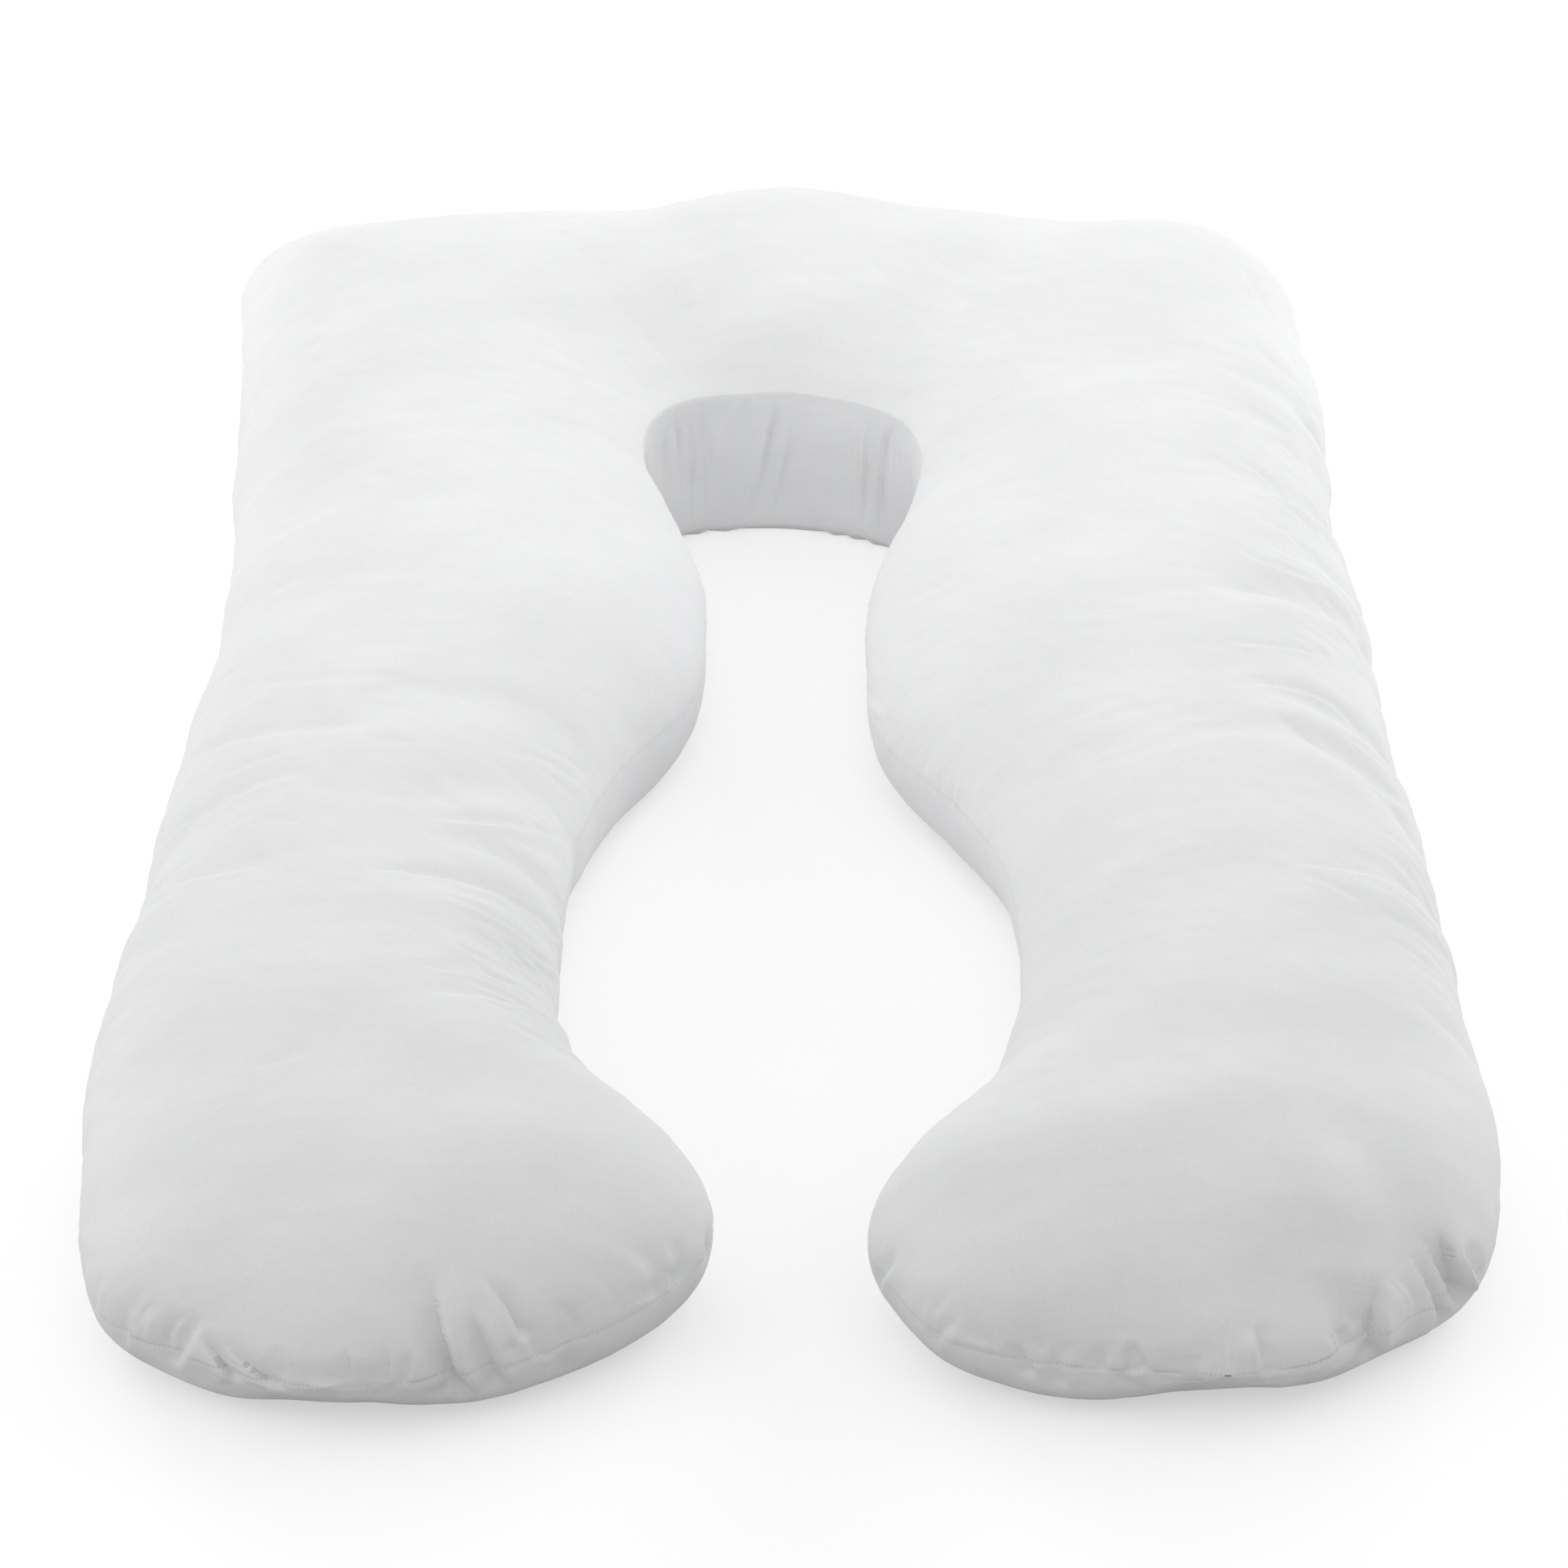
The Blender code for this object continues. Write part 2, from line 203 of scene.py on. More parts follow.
def cuts(count, closer=()):
    """Row number, plan and form of count cuts, foot to foot. They are even steps of the longer
    seam's length plus a share of both seams', and closer in the closer stretches and at the
    feet."""
    left = LEFT_LEG + (CENTRE,)
    right = RIGHT_LEG + (CENTRE,)
    plan = [row[1:] for row in left] + [row[1:] for row in reversed(RIGHT_LEG)]
    plan = np.array(plan, float) - np.array(CENTRE_OF_PLAN + CENTRE_OF_PLAN)
    form = np.concatenate([form_at_rows(left), form_at_rows(right)[-2::-1]])
    both = np.concatenate([plan, form], 1)
    fine = np.linspace(0, len(both) - 1, FINE_STEPS)
    path = spline(both, fine)
    outer_run = np.hypot(*np.gradient(path[:, 0:2], axis=0).T)
    inner_run = np.hypot(*np.gradient(path[:, 2:4], axis=0).T)
    density = np.maximum(outer_run, inner_run) + SUM_SHARE * (outer_run + inner_run)
    for stretch, row, reach, more in closer:
        density = density * (1 + more * np.exp(-((fine - row) / reach) ** 2))
    run = np.concatenate([[0], np.cumsum(0.5 * (density[1:] + density[:-1]))])
    step = np.linspace(0, 1, count)
    step = step - FEET_SHIFT * np.sin(2 * math.pi * step)
    places = np.interp(step * run[-1], run, fine)
    rows = spline(both, places)
    rows[:, 5] = np.maximum(rows[:, 5], 0.0)
    return places, rows


def graded(count, near, tight):
    """count + 1 shares from 0 to 1; an end step is tight times a middle one, fading over near."""
    t = np.linspace(0, 1, 2001)
    step = 1 - (1 - tight) * (np.exp(-(t / near) ** 2) + np.exp(-((1 - t) / near) ** 2))
    run = np.concatenate([[0], np.cumsum(0.5 * (1 / step[1:] + 1 / step[:-1]))])
    return np.interp(np.linspace(0, run[-1], count + 1), run, t)


def spread(line, shares):
    """Points of many lines (cut, point, 2) at the same shares of each line's own length."""
    run = np.cumsum(np.linalg.norm(np.diff(line, axis=1), axis=2), axis=1)
    run = np.concatenate([np.zeros((len(line), 1)), run], 1)
    picked = [np.stack([np.interp(shares * r[-1], r, one[:, 0]),
                        np.interp(shares * r[-1], r, one[:, 1])], 1)
              for r, one in zip(run, line)]
    return np.array(picked), run[:, -1]


class Cover:
    """Grid of the cover: cuts along the U, points round each cut, and where each point lies.

    Over the crown a cut is seam + (crown - seam) * (1 - |across| ** power) ** (1 / full);
    beneath, each side is a quarter of an ellipse from its seam to the flat that rests."""

    def __init__(self, along, over, under, near=0.05, tight=0.32, closer=()):
        self.rows, plan = cuts(along, closer)
        outer, inner = plan[:, 0:2], plan[:, 2:4]
        form = [column[:, None] for column in plan[:, 4:].T]
        crown, base, outer_seam, inner_seam, outer_full, inner_full, outer_flat, inner_flat = form
        half = 0.5 * np.linalg.norm(outer - inner, axis=1)[:, None]
        self.middle = 0.5 * (outer + inner)
        self.chord = 0.5 * (outer - inner) / np.maximum(half, 1e-9)

        across = np.cos(np.linspace(0, math.pi, 241))[None, :]
        side = across >= 0
        seam = np.where(side, outer_seam, inner_seam)
        full = np.where(side, outer_full, inner_full)
        rise = np.clip(1 - np.abs(across) ** CROWN_POWER, 0, 1) ** (1 / full)
        top = np.stack([half * across, seam + (crown - seam) * rise], 2)

        turn = np.linspace(0, math.pi / 2, 61)[None, :]
        in_x = -half * (inner_flat + (1 - inner_flat) * np.cos(turn))
        in_z = base + (inner_seam - base) * (1 - np.sin(turn))
        out_x = half * (outer_flat + (1 - outer_flat) * np.cos(turn))
        out_z = base + (outer_seam - base) * (1 - np.sin(turn))
        beneath = np.concatenate([np.stack([in_x, in_z], 2),
                                  np.stack([out_x, out_z], 2)[:, ::-1]], 1)

        self.over_share = graded(over, near, tight)
        self.under_share = graded(under, 1.4 * near, 1.5 * tight)
        top, self.over_length = spread(top, self.over_share)
        beneath, self.under_length = spread(beneath, self.under_share)
        self.over = over
        flat = np.concatenate([top, beneath[:, 1:-1]], 1)
        self.across = np.concatenate([self.over_share, 1 + self.under_share[1:-1]])
        place = self.middle[:, None, :] + self.chord[:, None, :] * flat[:, :, 0:1]
        self.points = np.concatenate([place, flat[:, :, 1:2]], 2)

        over_gap = np.minimum(self.over_share, 1 - self.over_share)[None, :]
        under_gap = np.minimum(self.under_share, 1 - self.under_share)[None, 1:-1]
        self.gap = np.concatenate([over_gap * self.over_length[:, None],
                                   under_gap * self.under_length[:, None]], 1)
        self.outer_run = self.run_along(outer)
        self.inner_run = self.run_along(inner)
        self.near_inner = (self.across > 0.5) & (self.across < 1.5)
        self.seam_run = np.where(self.near_inner[None, :], self.inner_run[:, None],
                                 self.outer_run[:, None])

    @staticmethod
    def run_along(line):
        """Length along a line of points, from its first."""
        return np.concatenate([[0], np.cumsum(np.hypot(*np.diff(line, axis=0).T))])

    def at(self, row, across):
        """Point of the grid at (row, across), straight between the four points round it."""
        shape = self.points.shape
        i = np.interp(row, self.rows, np.arange(shape[0]))
        wrapped = np.mod(across, 2.0)
        j = np.interp(wrapped, np.append(self.across, 2.0), np.arange(shape[1] + 1))
        i0 = np.clip(np.floor(i).astype(int), 0, shape[0] - 2)
        j0 = np.floor(j).astype(int)
        a, b = (i - i0)[:, None], (j - j0)[:, None]
        j0, j1 = j0 % shape[1], (j0 + 1) % shape[1]
        p = self.points
        return ((1 - a) * (1 - b) * p[i0, j0] + a * (1 - b) * p[i0 + 1, j0]
                + (1 - a) * b * p[i0, j1] + a * b * p[i0 + 1, j1])


# ---------------------------------------------------------------- folds in the cloth
# Creases: three places on the cover (row, across) that each one passes, its width and its
# depth in metres.
CREASES = (
    ("chest crease", 31.55, 0.322, 31.85, 0.216, 32.23, 0.107, 0.0036, 0.0023),
    ("chest crease", 31.16, 0.331, 31.31, 0.221, 31.84, 0.144, 0.0030, 0.0013),
    ("chest crease", 30.18, 0.369, 30.23, 0.333, 30.28, 0.303, 0.0030, 0.0008),
    ("chest crease", 30.50, 0.219, 30.64, 0.149, 30.60, 0.069, 0.0030, 0.0010),
    ("chest crease", 32.23, 0.275, 32.27, 0.214, 32.33, 0.153, 0.0030, 0.0015),
    ("waist crease", 32.70, 0.341, 32.91, 0.251, 32.84, 0.135, 0.0036, 0.0017),
    ("waist crease", 33.34, 0.425, 33.30, 0.241, 33.65, 0.078, 0.0042, 0.0026),
    ("waist crease", 34.17, 0.434, 34.06, 0.273, 33.82, 0.069, 0.0030, 0.0015),
    ("hip crease", 34.78, 0.453, 34.70, 0.250, 35.30, 0.135, 0.0042, 0.0028),
    ("hip crease", 35.08, 0.416, 35.67, 0.289, 36.33, 0.163, 0.0036, 0.0023),
    ("thigh crease", 37.32, 0.472, 37.23, 0.299, 37.00, 0.107, 0.0036, 0.0020),
    ("thigh crease", 37.46, 0.444, 37.61, 0.383, 37.78, 0.322, 0.0036, 0.0013),
    ("thigh crease", 37.46, 0.303, 37.44, 0.230, 37.60, 0.172, 0.0030, 0.0015),
    ("knee crease", 37.88, 0.294, 37.84, 0.213, 37.93, 0.125, 0.0037, 0.0014),
    ("hip, soft", 36.81, 0.875, 36.72, 0.798, 36.67, 0.715, 0.0120, 0.0016),
    ("hip, soft", 34.95, 0.528, 35.22, 0.518, 35.52, 0.509, 0.0100, 0.0012),
    ("shoulder crease", 26.94, 0.285, 28.18, 0.158, 29.36, 0.051, 0.0060, 0.0018),
    ("shoulder crease", 28.72, 0.285, 29.14, 0.181, 29.42, 0.069, 0.0045, 0.0024),
    ("left corner", 16.44, 0.247, 16.63, 0.276, 16.85, 0.303, 0.0060, 0.0012),
    ("left corner", 16.30, 0.088, 16.35, 0.136, 16.44, 0.172, 0.0053, 0.0012),
    ("left corner", 16.39, 0.051, 16.30, 0.051, 16.21, 0.051, 0.0037, 0.0020),
    ("hip, fine", 12.88, 0.163, 12.97, 0.235, 12.97, 0.303, 0.0045, 0.0009),
    ("thigh, soft", 11.59, 0.416, 11.71, 0.490, 11.80, 0.566, 0.0072, 0.0006),
    ("thigh, soft", 11.72, 0.612, 11.89, 0.688, 12.03, 0.762, 0.0072, 0.0010),
    ("thigh crease", 11.59, 0.125, 11.19, 0.381, 11.33, 0.556, 0.0049, 0.0003),
    ("thigh crease", 11.07, 0.594, 11.43, 0.739, 11.54, 0.903, 0.0043, 0.0003),
    ("knee crease", 10.57, 0.163, 10.49, 0.381, 10.61, 0.556, 0.0048, 0.0005),
    ("knee crease", 9.90, 0.238, 10.06, 0.355, 10.28, 0.472, 0.0040, 0.0004),
    ("knee crease", 9.52, 0.210, 9.67, 0.328, 9.90, 0.444, 0.0060, 0.0007),
    ("knee crease", 8.95, 0.210, 9.11, 0.295, 9.31, 0.378, 0.0048, 0.0007),
    ("calf crease", 8.68, 0.125, 8.78, 0.212, 8.95, 0.294, 0.0048, 0.0007),
    ("calf crease", 8.68, 0.144, 8.57, 0.293, 8.63, 0.416, 0.0048, 0.0011),
    ("calf crease", 7.90, 0.116, 7.75, 0.200, 7.64, 0.275, 0.0040, 0.0005),
    ("inner knee crease", 10.69, 0.753, 10.99, 0.837, 11.20, 0.931, 0.0035, 0.0012),
    ("inner knee crease", 9.65, 0.678, 10.02, 0.817, 10.86, 1.035, 0.0041, 0.0023),
    ("inner knee crease", 10.73, 0.893, 10.69, 0.951, 10.86, 1.022, 0.0030, 0.0009),
    ("inner calf crease", 9.65, 0.762, 9.69, 0.873, 9.90, 1.010, 0.0035, 0.0020),
    ("inner calf crease", 8.72, 0.584, 9.12, 0.783, 9.44, 1.022, 0.0041, 0.0023),
    ("inner calf crease", 8.68, 0.715, 8.75, 0.826, 8.91, 0.957, 0.0035, 0.0018),
    ("inner calf crease", 8.21, 0.734, 7.98, 0.804, 8.35, 0.931, 0.0035, 0.0015),
    ("inner calf crease", 8.54, 0.809, 8.55, 0.897, 8.58, 0.992, 0.0030, 0.0016),
    ("inner ankle crease", 7.99, 0.762, 7.81, 0.797, 7.81, 0.847, 0.0030, 0.0011),
    ("inner ankle crease", 7.47, 0.669, 7.55, 0.716, 7.64, 0.753, 0.0041, 0.0008),
    ("inner ankle crease", 7.03, 0.650, 7.30, 0.759, 7.64, 0.893, 0.0041, 0.0012),
    ("ankle, fine", 5.76, 0.322, 5.85, 0.383, 6.07, 0.444, 0.0045, 0.0007),
    ("right foot, soft", 40.93, 0.341, 41.59, 0.255, 42.54, 0.135, 0.0140, 0.0016),
    ("wall pucker, left", 19.23, 1.035, 19.53, 1.075, 19.59, 1.097, 0.0028, 0.0017),
    ("wall pucker, left", 19.79, 1.053, 19.91, 1.074, 20.03, 1.120, 0.0028, 0.0017),
    ("wall pucker, left", 20.26, 1.010, 20.52, 1.095, 20.52, 1.168, 0.0028, 0.0030),
    ("wall pucker, left", 20.61, 1.010, 20.76, 1.057, 20.80, 1.097, 0.0028, 0.0014),
    ("wall pucker, left", 21.04, 1.010, 20.99, 1.109, 20.66, 1.192, 0.0028, 0.0027),
    ("wall pucker, left", 20.15, 1.074, 20.05, 1.119, 19.95, 1.160, 0.0028, 0.0019),
    ("wall pucker, centre", 22.87, 1.022, 22.67, 1.101, 22.56, 1.168, 0.0034, 0.0027),
    ("wall pucker, centre", 22.72, 1.120, 22.51, 1.171, 22.18, 1.239, 0.0045, 0.0017),
    ("wall pucker, centre", 23.30, 1.053, 23.02, 1.156, 22.75, 1.239, 0.0039, 0.0021),
    ("wall pucker, right", 25.52, 1.010, 25.27, 1.109, 25.16, 1.215, 0.0028, 0.0029),
    ("wall pucker, right", 25.63, 1.035, 25.43, 1.117, 25.31, 1.192, 0.0028, 0.0019),
    ("wall pucker, right", 26.21, 1.010, 25.92, 1.099, 25.87, 1.192, 0.0028, 0.0029),
    ("wall pucker, right", 26.42, 1.010, 26.13, 1.037, 26.00, 1.074, 0.0026, 0.0014),
    ("neck rim", 31.99, 0.971, 32.47, 0.940, 32.80, 0.922, 0.0060, 0.0012),
    ("neck rim", 32.42, 0.995, 32.86, 0.964, 33.12, 0.957, 0.0060, 0.0012),
)

# Pleats round the sewn edge of the toes, in millimetres: three points (x, y, z) that each one
# passes, its width and its depth.
PLEATS = (
    ("left toe pleat", -213, -742, 15, -231, -735, 79, -237, -715, 112, 7.5, 7.0),
    ("left toe pleat", -191, -735, 22, -204, -737, 68, -215, -729, 91, 7.0, 5.4),
    ("left toe crease", -210, -713, 113, -190, -723, 92, -178, -729, 62, 4.2, 4.0),
    ("left toe slit", -168, -724, 43, -155, -717, 47, -143, -712, 53, 2.0, 2.2),
    ("left toe, soft", -151, -712, 12, -150, -714, 62, -148, -704, 87, 5.0, 3.0),
    ("left toe, below", -235, -741, 25, -230, -742, 33, -228, -743, 42, 5.0, 2.4),
    ("left toe corner", -453, -696, 28, -433, -706, 63, -421, -709, 85, 4.5, 2.4),
    ("left toe corner", -419, -722, 28, -401, -728, 65, -392, -723, 84, 5.5, 3.2),
    ("left toe corner", -393, -728, 71, -384, -735, 57, -370, -742, 35, 5.5, 4.2),
    ("left toe corner", -377, -731, 72, -361, -742, 57, -333, -757, 40, 5.0, 3.6),
    ("left toe front", -291, -759, 50, -292, -755, 68, -292, -750, 79, 4.5, 1.2),
    ("left toe front", -267, -759, 50, -266, -754, 66, -265, -750, 77, 3.5, 1.2),
    ("left toe front", -256, -754, 46, -253, -750, 63, -251, -746, 72, 3.5, 1.4),
    ("right toe pleat", 421, -659, 102, 437, -660, 73, 461, -657, 25, 5.2, 6.0),
    ("right toe pleat", 463, -656, 36, 449, -656, 76, 439, -650, 98, 7.2, 8.5),
    ("right toe pleat", 457, -649, 84, 463, -652, 69, 473, -642, 35, 4.4, 6.0),
    ("right toe pleat", 415, -669, 91, 428, -670, 63, 441, -666, 16, 6.2, 9.0),
    ("right toe pleat", 395, -702, 19, 393, -702, 65, 396, -690, 88, 8.0, 7.0),
    ("right toe, soft", 379, -721, 33, 370, -713, 79, 367, -698, 103, 9.0, 4.6),
    ("right toe, soft", 321, -682, 132, 319, -715, 102, 315, -740, 67, 8.0, 1.8),
    ("right toe pleat", 311, -733, 82, 314, -740, 68, 319, -745, 41, 5.5, 4.0),
    ("right toe crease", 240, -744, 47, 232, -742, 63, 227, -739, 73, 4.5, 1.8),
    ("right toe crease", 223, -739, 73, 226, -741, 62, 226, -743, 44, 4.5, 1.2),
    ("right toe, soft", 220, -687, 135, 221, -720, 106, 225, -740, 67, 7.0, 1.6),
    ("right toe crease", 274, -745, 35, 273, -746, 54, 271, -744, 65, 4.5, 1.8),
    ("right toe crease", 164, -732, 35, 156, -731, 52, 152, -729, 63, 5.0, 2.0),
    ("right toe crease", 186, -735, 28, 180, -736, 48, 178, -735, 60, 5.0, 1.6),
    ("right foot tip", 60, -640, 35, 68, -660, 72, 74, -660, 86, 4.5, 2.8),
    ("right foot tip", 97, -705, 39, 105, -711, 60, 111, -712, 71, 4.5, 2.2),
    ("right foot tip, soft", 118, -719, 56, 127, -717, 79, 134, -712, 93, 6.0, 1.4),
    ("left foot tip", -60, -625, 82, -57, -629, 69, -59, -634, 56, 4.0, 3.4),
    ("left foot tip", -84, -664, 76, -81, -664, 67, -78, -663, 56, 5.0, 2.6),
    ("left foot tip, soft", -93, -674, 76, -93, -677, 68, -94, -680, 59, 5.0, 1.8),
)
PLEAT_PULL = 1.2        # how much deeper every pleat is drawn than its row says
PLEAT_FADE_LOW = 0.15   # share of a pleat's length over which its low end fades, and its high
PLEAT_FADE_HIGH = 0.65

# Families of small creases: row0, row1, across0, across1, lean, count, width, depth and seed.
# Each crease starts somewhere from row0 to row1, runs from across0 to about across1, and shifts
# by lean rows on the way; width and depth are the largest.
FAMILIES = (
    ("right flank", 30.2, 36.6, 0.05, 0.33, -0.60, 46, 0.0042, 0.0013, 1),
    ("right flank, edge", 29.8, 37.2, 0.02, 0.16, -0.55, 60, 0.0034, 0.0010, 18),
    ("right thigh", 36.4, 39.4, 0.05, 0.32, -0.30, 22, 0.0042, 0.0011, 2),
    ("left inner calf", 7.0, 9.4, 0.99, 0.68, -0.45, 34, 0.0038, 0.0012, 3),
    ("left inner calf, edge", 7.4, 9.6, 1.00, 0.86, -0.35, 26, 0.0030, 0.0010, 19),
    ("left inner knee", 9.2, 11.6, 0.99, 0.76, -0.45, 18, 0.0038, 0.0010, 4),
    ("left outer leg", 7.0, 12.8, 0.04, 0.30, 0.14, 40, 0.0042, 0.0008, 5),
    ("left toe, outer", 1.3, 3.8, -0.03, 0.15, 0.05, 9, 0.0050, 0.0016, 6),
    ("left toe, inner", 1.3, 4.8, 1.02, 0.86, 0.05, 11, 0.0050, 0.0014, 7),
    ("right toe, inner", 41.2, 44.8, 1.02, 0.88, -0.05, 10, 0.0048, 0.0013, 8),
    ("right toe, outer", 42.0, 44.8, -0.03, 0.15, -0.05, 11, 0.0050, 0.0018, 9),
    ("right shoulder", 26.6, 29.8, 0.03, 0.20, 0.50, 14, 0.0044, 0.0010, 10),
    ("neck wall, left", 18.6, 21.4, 1.01, 1.24, -0.10, 24, 0.0028, 0.0015, 11),
    ("neck wall, right", 24.6, 27.4, 1.01, 1.24, -0.10, 22, 0.0028, 0.0014, 12),
    ("neck wall, middle", 21.4, 24.6, 1.00, 1.10, -0.05, 12, 0.0034, 0.0008, 20),
    ("neck rim", 19.5, 26.5, 0.995, 0.95, 0.00, 26, 0.0030, 0.0004, 13),
    ("outer seam, left", 4.0, 18.5, -0.02, 0.06, 0.00, 110, 0.0034, 0.0006, 14),
    ("outer seam, right", 27.5, 42.0, -0.02, 0.06, 0.00, 110, 0.0034, 0.0007, 15),
    ("inner seam, left", 4.5, 17.5, 1.02, 0.94, 0.00, 95, 0.0034, 0.0006, 16),
    ("inner seam, right", 28.5, 41.5, 1.02, 0.94, 0.00, 95, 0.0034, 0.0006, 17),
)


# Where the cover is slack and wrinkles as it is filled: the middle of each patch, how far it
# reaches in rows and across, and how much of the wrinkling it keeps.
SLACK = (
    ("right flank", 33.8, 0.14, 3.6, 0.17, 0.50),
    ("right thigh", 37.3, 0.14, 1.4, 0.16, 0.35),
    ("right shoulder", 28.6, 0.12, 1.6, 0.16, 0.35),
    ("left inner ankle", 9.0, 0.90, 1.9, 0.17, 0.40),
    ("left outer leg", 9.8, 0.12, 2.4, 0.14, 0.28),
    ("left toe", 1.2, 0.50, 1.6, 0.90, 0.30),
    ("right toe", 44.8, 0.50, 1.6, 0.90, 0.30),
)
SLACK_ELSEWHERE = 0.12  # share that the rest of the cover keeps


def outward(points):
    """Unit normals of the grid, from its central differences round and along."""
    around = np.roll(points, -1, axis=1) - np.roll(points, 1, axis=1)
    along = np.gradient(points, axis=0)
    normal = np.cross(around, along)
    return normal / np.maximum(np.linalg.norm(normal, axis=2, keepdims=True), 1e-9)


def bowed(first, middle, last, count=15):
    """Points of the parabola through three points."""
    t = np.linspace(0, 1, count)[:, None]
    return ((2 * t - 1) * (t - 1) * np.array(first) + 4 * t * (1 - t) * np.array(middle)
            + t * (2 * t - 1) * np.array(last))


def bowed_on(cover, first, middle, last):
    """Line on the cover: the parabola through three places (row, across)."""
    places = bowed(first, middle, last)
    return cover.at(places[:, 0], places[:, 1])


# Section of a crease, in its own widths and its own depth.
FAR_REACH = 1.9         # how far the long side of the trough reaches
NEAR_REACH = 0.6        # and the short one
RIDGE = 0.6             # height of the ridge beside the short side, and its reach
RIDGE_REACH = 2.4


def crease(points, normal, line, width, depth, soft=False, fade_in=0.32, fade_out=0.32):
    """How far one crease moves each point inwards. Its trough is a bell across the line, long
    on the far side and short on the near one, where it rises at once to a ridge that dies
    away slowly. It fades over shares of its length at the ends. A soft one is long on both
    sides."""
    step = line[1:] - line[:-1]
    run = np.maximum((step * step).sum(1), 1e-12)
    offset = points[:, None, :] - line[None, :-1]
    share = np.clip((offset * step).sum(2) / run, 0, 1)
    gap = offset - share[:, :, None] * step
    far = np.linalg.norm(gap, axis=2)
    best = far.argmin(1)
    each = np.arange(len(points))
    heading = step[best] / np.sqrt(run[best])[:, None]
    side = (np.cross(normal, heading) * gap[each, best]).sum(1)
    off = far[each, best] / width
    along = (best + share[each, best]) / len(step)
    ends = ease(along / fade_in) * ease((1 - along) / fade_out)
    far_side = np.exp(-(off / FAR_REACH) ** 2)
    near_side = ((1 + RIDGE) * np.exp(-(off / NEAR_REACH) ** 2)
                 - RIDGE * np.exp(-(off / RIDGE_REACH) ** 2))
    return depth * ends * np.where((side > 0) | soft, far_side, near_side)


def add_creases(cover, normal, lines):
    """Sum of all creases over the grid; each is worked out only near its own line."""
    points = cover.points.reshape(-1, 3)
    flat_normal = normal.reshape(-1, 3)
    total = np.zeros(len(points))
    for line, width, *rest in lines:
        low, high = line.min(0) - 5 * width, line.max(0) + 5 * width
        near = np.flatnonzero(((points > low) & (points < high)).all(1))
        total[near] += crease(points[near], flat_normal[near], line, width, *rest)
    return total.reshape(cover.gap.shape)


def named_creases(cover):
    """The creases and the pleats of the tables; a pleat is deepest towards its low end."""
    creases = [(bowed_on(cover, row[1:3], row[3:5], row[5:7]), row[7], row[8],
                row[0].endswith("soft")) for row in CREASES]
    pleats = []
    for row in PLEATS:
        rising = row[3] < row[9]
        fades = (PLEAT_FADE_LOW, PLEAT_FADE_HIGH) if rising else (PLEAT_FADE_HIGH, PLEAT_FADE_LOW)
        line = bowed(row[1:4], row[4:7], row[7:10]) / 1000
        pleats.append((line, row[10] / 1000, PLEAT_PULL * row[11] / 1000,
                       row[0].endswith("soft"), *fades))
    return creases + pleats


def family_creases(cover):
    """Small creases, placed in each family's patch from its own seed."""
    lines = []
    for name, row0, row1, across0, across1, lean, count, width, depth, seed in FAMILIES:
        chance = np.random.default_rng(seed)
        start = np.sort(chance.uniform(row0, row1, count))
        reach = chance.uniform(0.35, 1.0, count)
        shift = lean * reach * chance.uniform(0.6, 1.3, count)
        inset = chance.uniform(0.0, 0.35, count) * (1 - reach)
        bow = chance.normal(0, 0.06, count) * max(abs(lean), 0.1)
        size = chance.uniform(0.6, 1.0, count)
        strength = chance.uniform(0.25, 1.0, count) ** 1.3
        for i in range(count):
            a0 = across0 + inset[i] * (across1 - across0)
            a2 = a0 + reach[i] * (across1 - across0)
            line = bowed_on(cover, (start[i], a0),
                            (start[i] + 0.5 * shift[i] + bow[i], 0.5 * (a0 + a2)),
                            (start[i] + shift[i], a2))
            if line[0, 0] > line[-1, 0]:
                line = line[::-1]
            lines.append((line, width * size[i], depth * strength[i]))
    return lines


def broad_folds(points):
    """Depth of the broad folds: bells across bowed lines in plan, with a low ridge beside."""
    x = points[:, :, 0] + CENTRE_OF_PLAN[0]
    y = points[:, :, 1] + CENTRE_OF_PLAN[1]
    depth = np.zeros(x.shape)
    for name, x0, y0, x1, y1, bow, width, deep in FOLDS:
        length = math.hypot(x1 - x0, y1 - y0)
        ux, uy = (x1 - x0) / length, (y1 - y0) / length
        along = ((x - x0) * ux + (y - y0) * uy) / length
        off = (y - y0) * ux - (x - x0) * uy - 4 * bow * along * (1 - along)
        ends = ease(along / 0.35) * ease((1 - along) / 0.12)
        depth += deep * ends * (np.exp(-(off / width) ** 2)
                                - 0.55 * np.exp(-((off + 1.7 * width) / width) ** 2))
    return depth * ease((points[:, :, 2] - 0.012) / 0.05)


def waves(points, shortest, longest, count, seed):
    """Smooth unevenness about 1 high: a sum of seeded cosines of the point's place."""
    chance = np.random.default_rng(seed)
    heading = chance.normal(size=(count, 3))
    heading /= np.linalg.norm(heading, axis=1, keepdims=True)
    length = np.exp(chance.uniform(math.log(shortest), math.log(longest), count))
    phase = chance.uniform(0, 2 * math.pi, count)
    total = np.zeros(points.shape[:2])
    for i in range(count):
        total += np.cos(points @ (heading[i] * 2 * math.pi / length[i]) + phase[i])
    return total * math.sqrt(2.0 / count)


# ---------------------------------------------------------------- filling the cover
SETTLE_ALONG = 400      # cuts of the coarser cover that is filled
SETTLE_OVER = 54
SETTLE_UNDER = 26
SETTLE_FRAMES = 20
SETTLE_PRESSURE = 4.0
SETTLE_INSET = 0.004    # the cover starts this much smaller
SETTLE_SLACK = -0.03    # and its cloth is 3% longer than that needs
SETTLE_CAP = 0.006      # farthest that filling may move a point


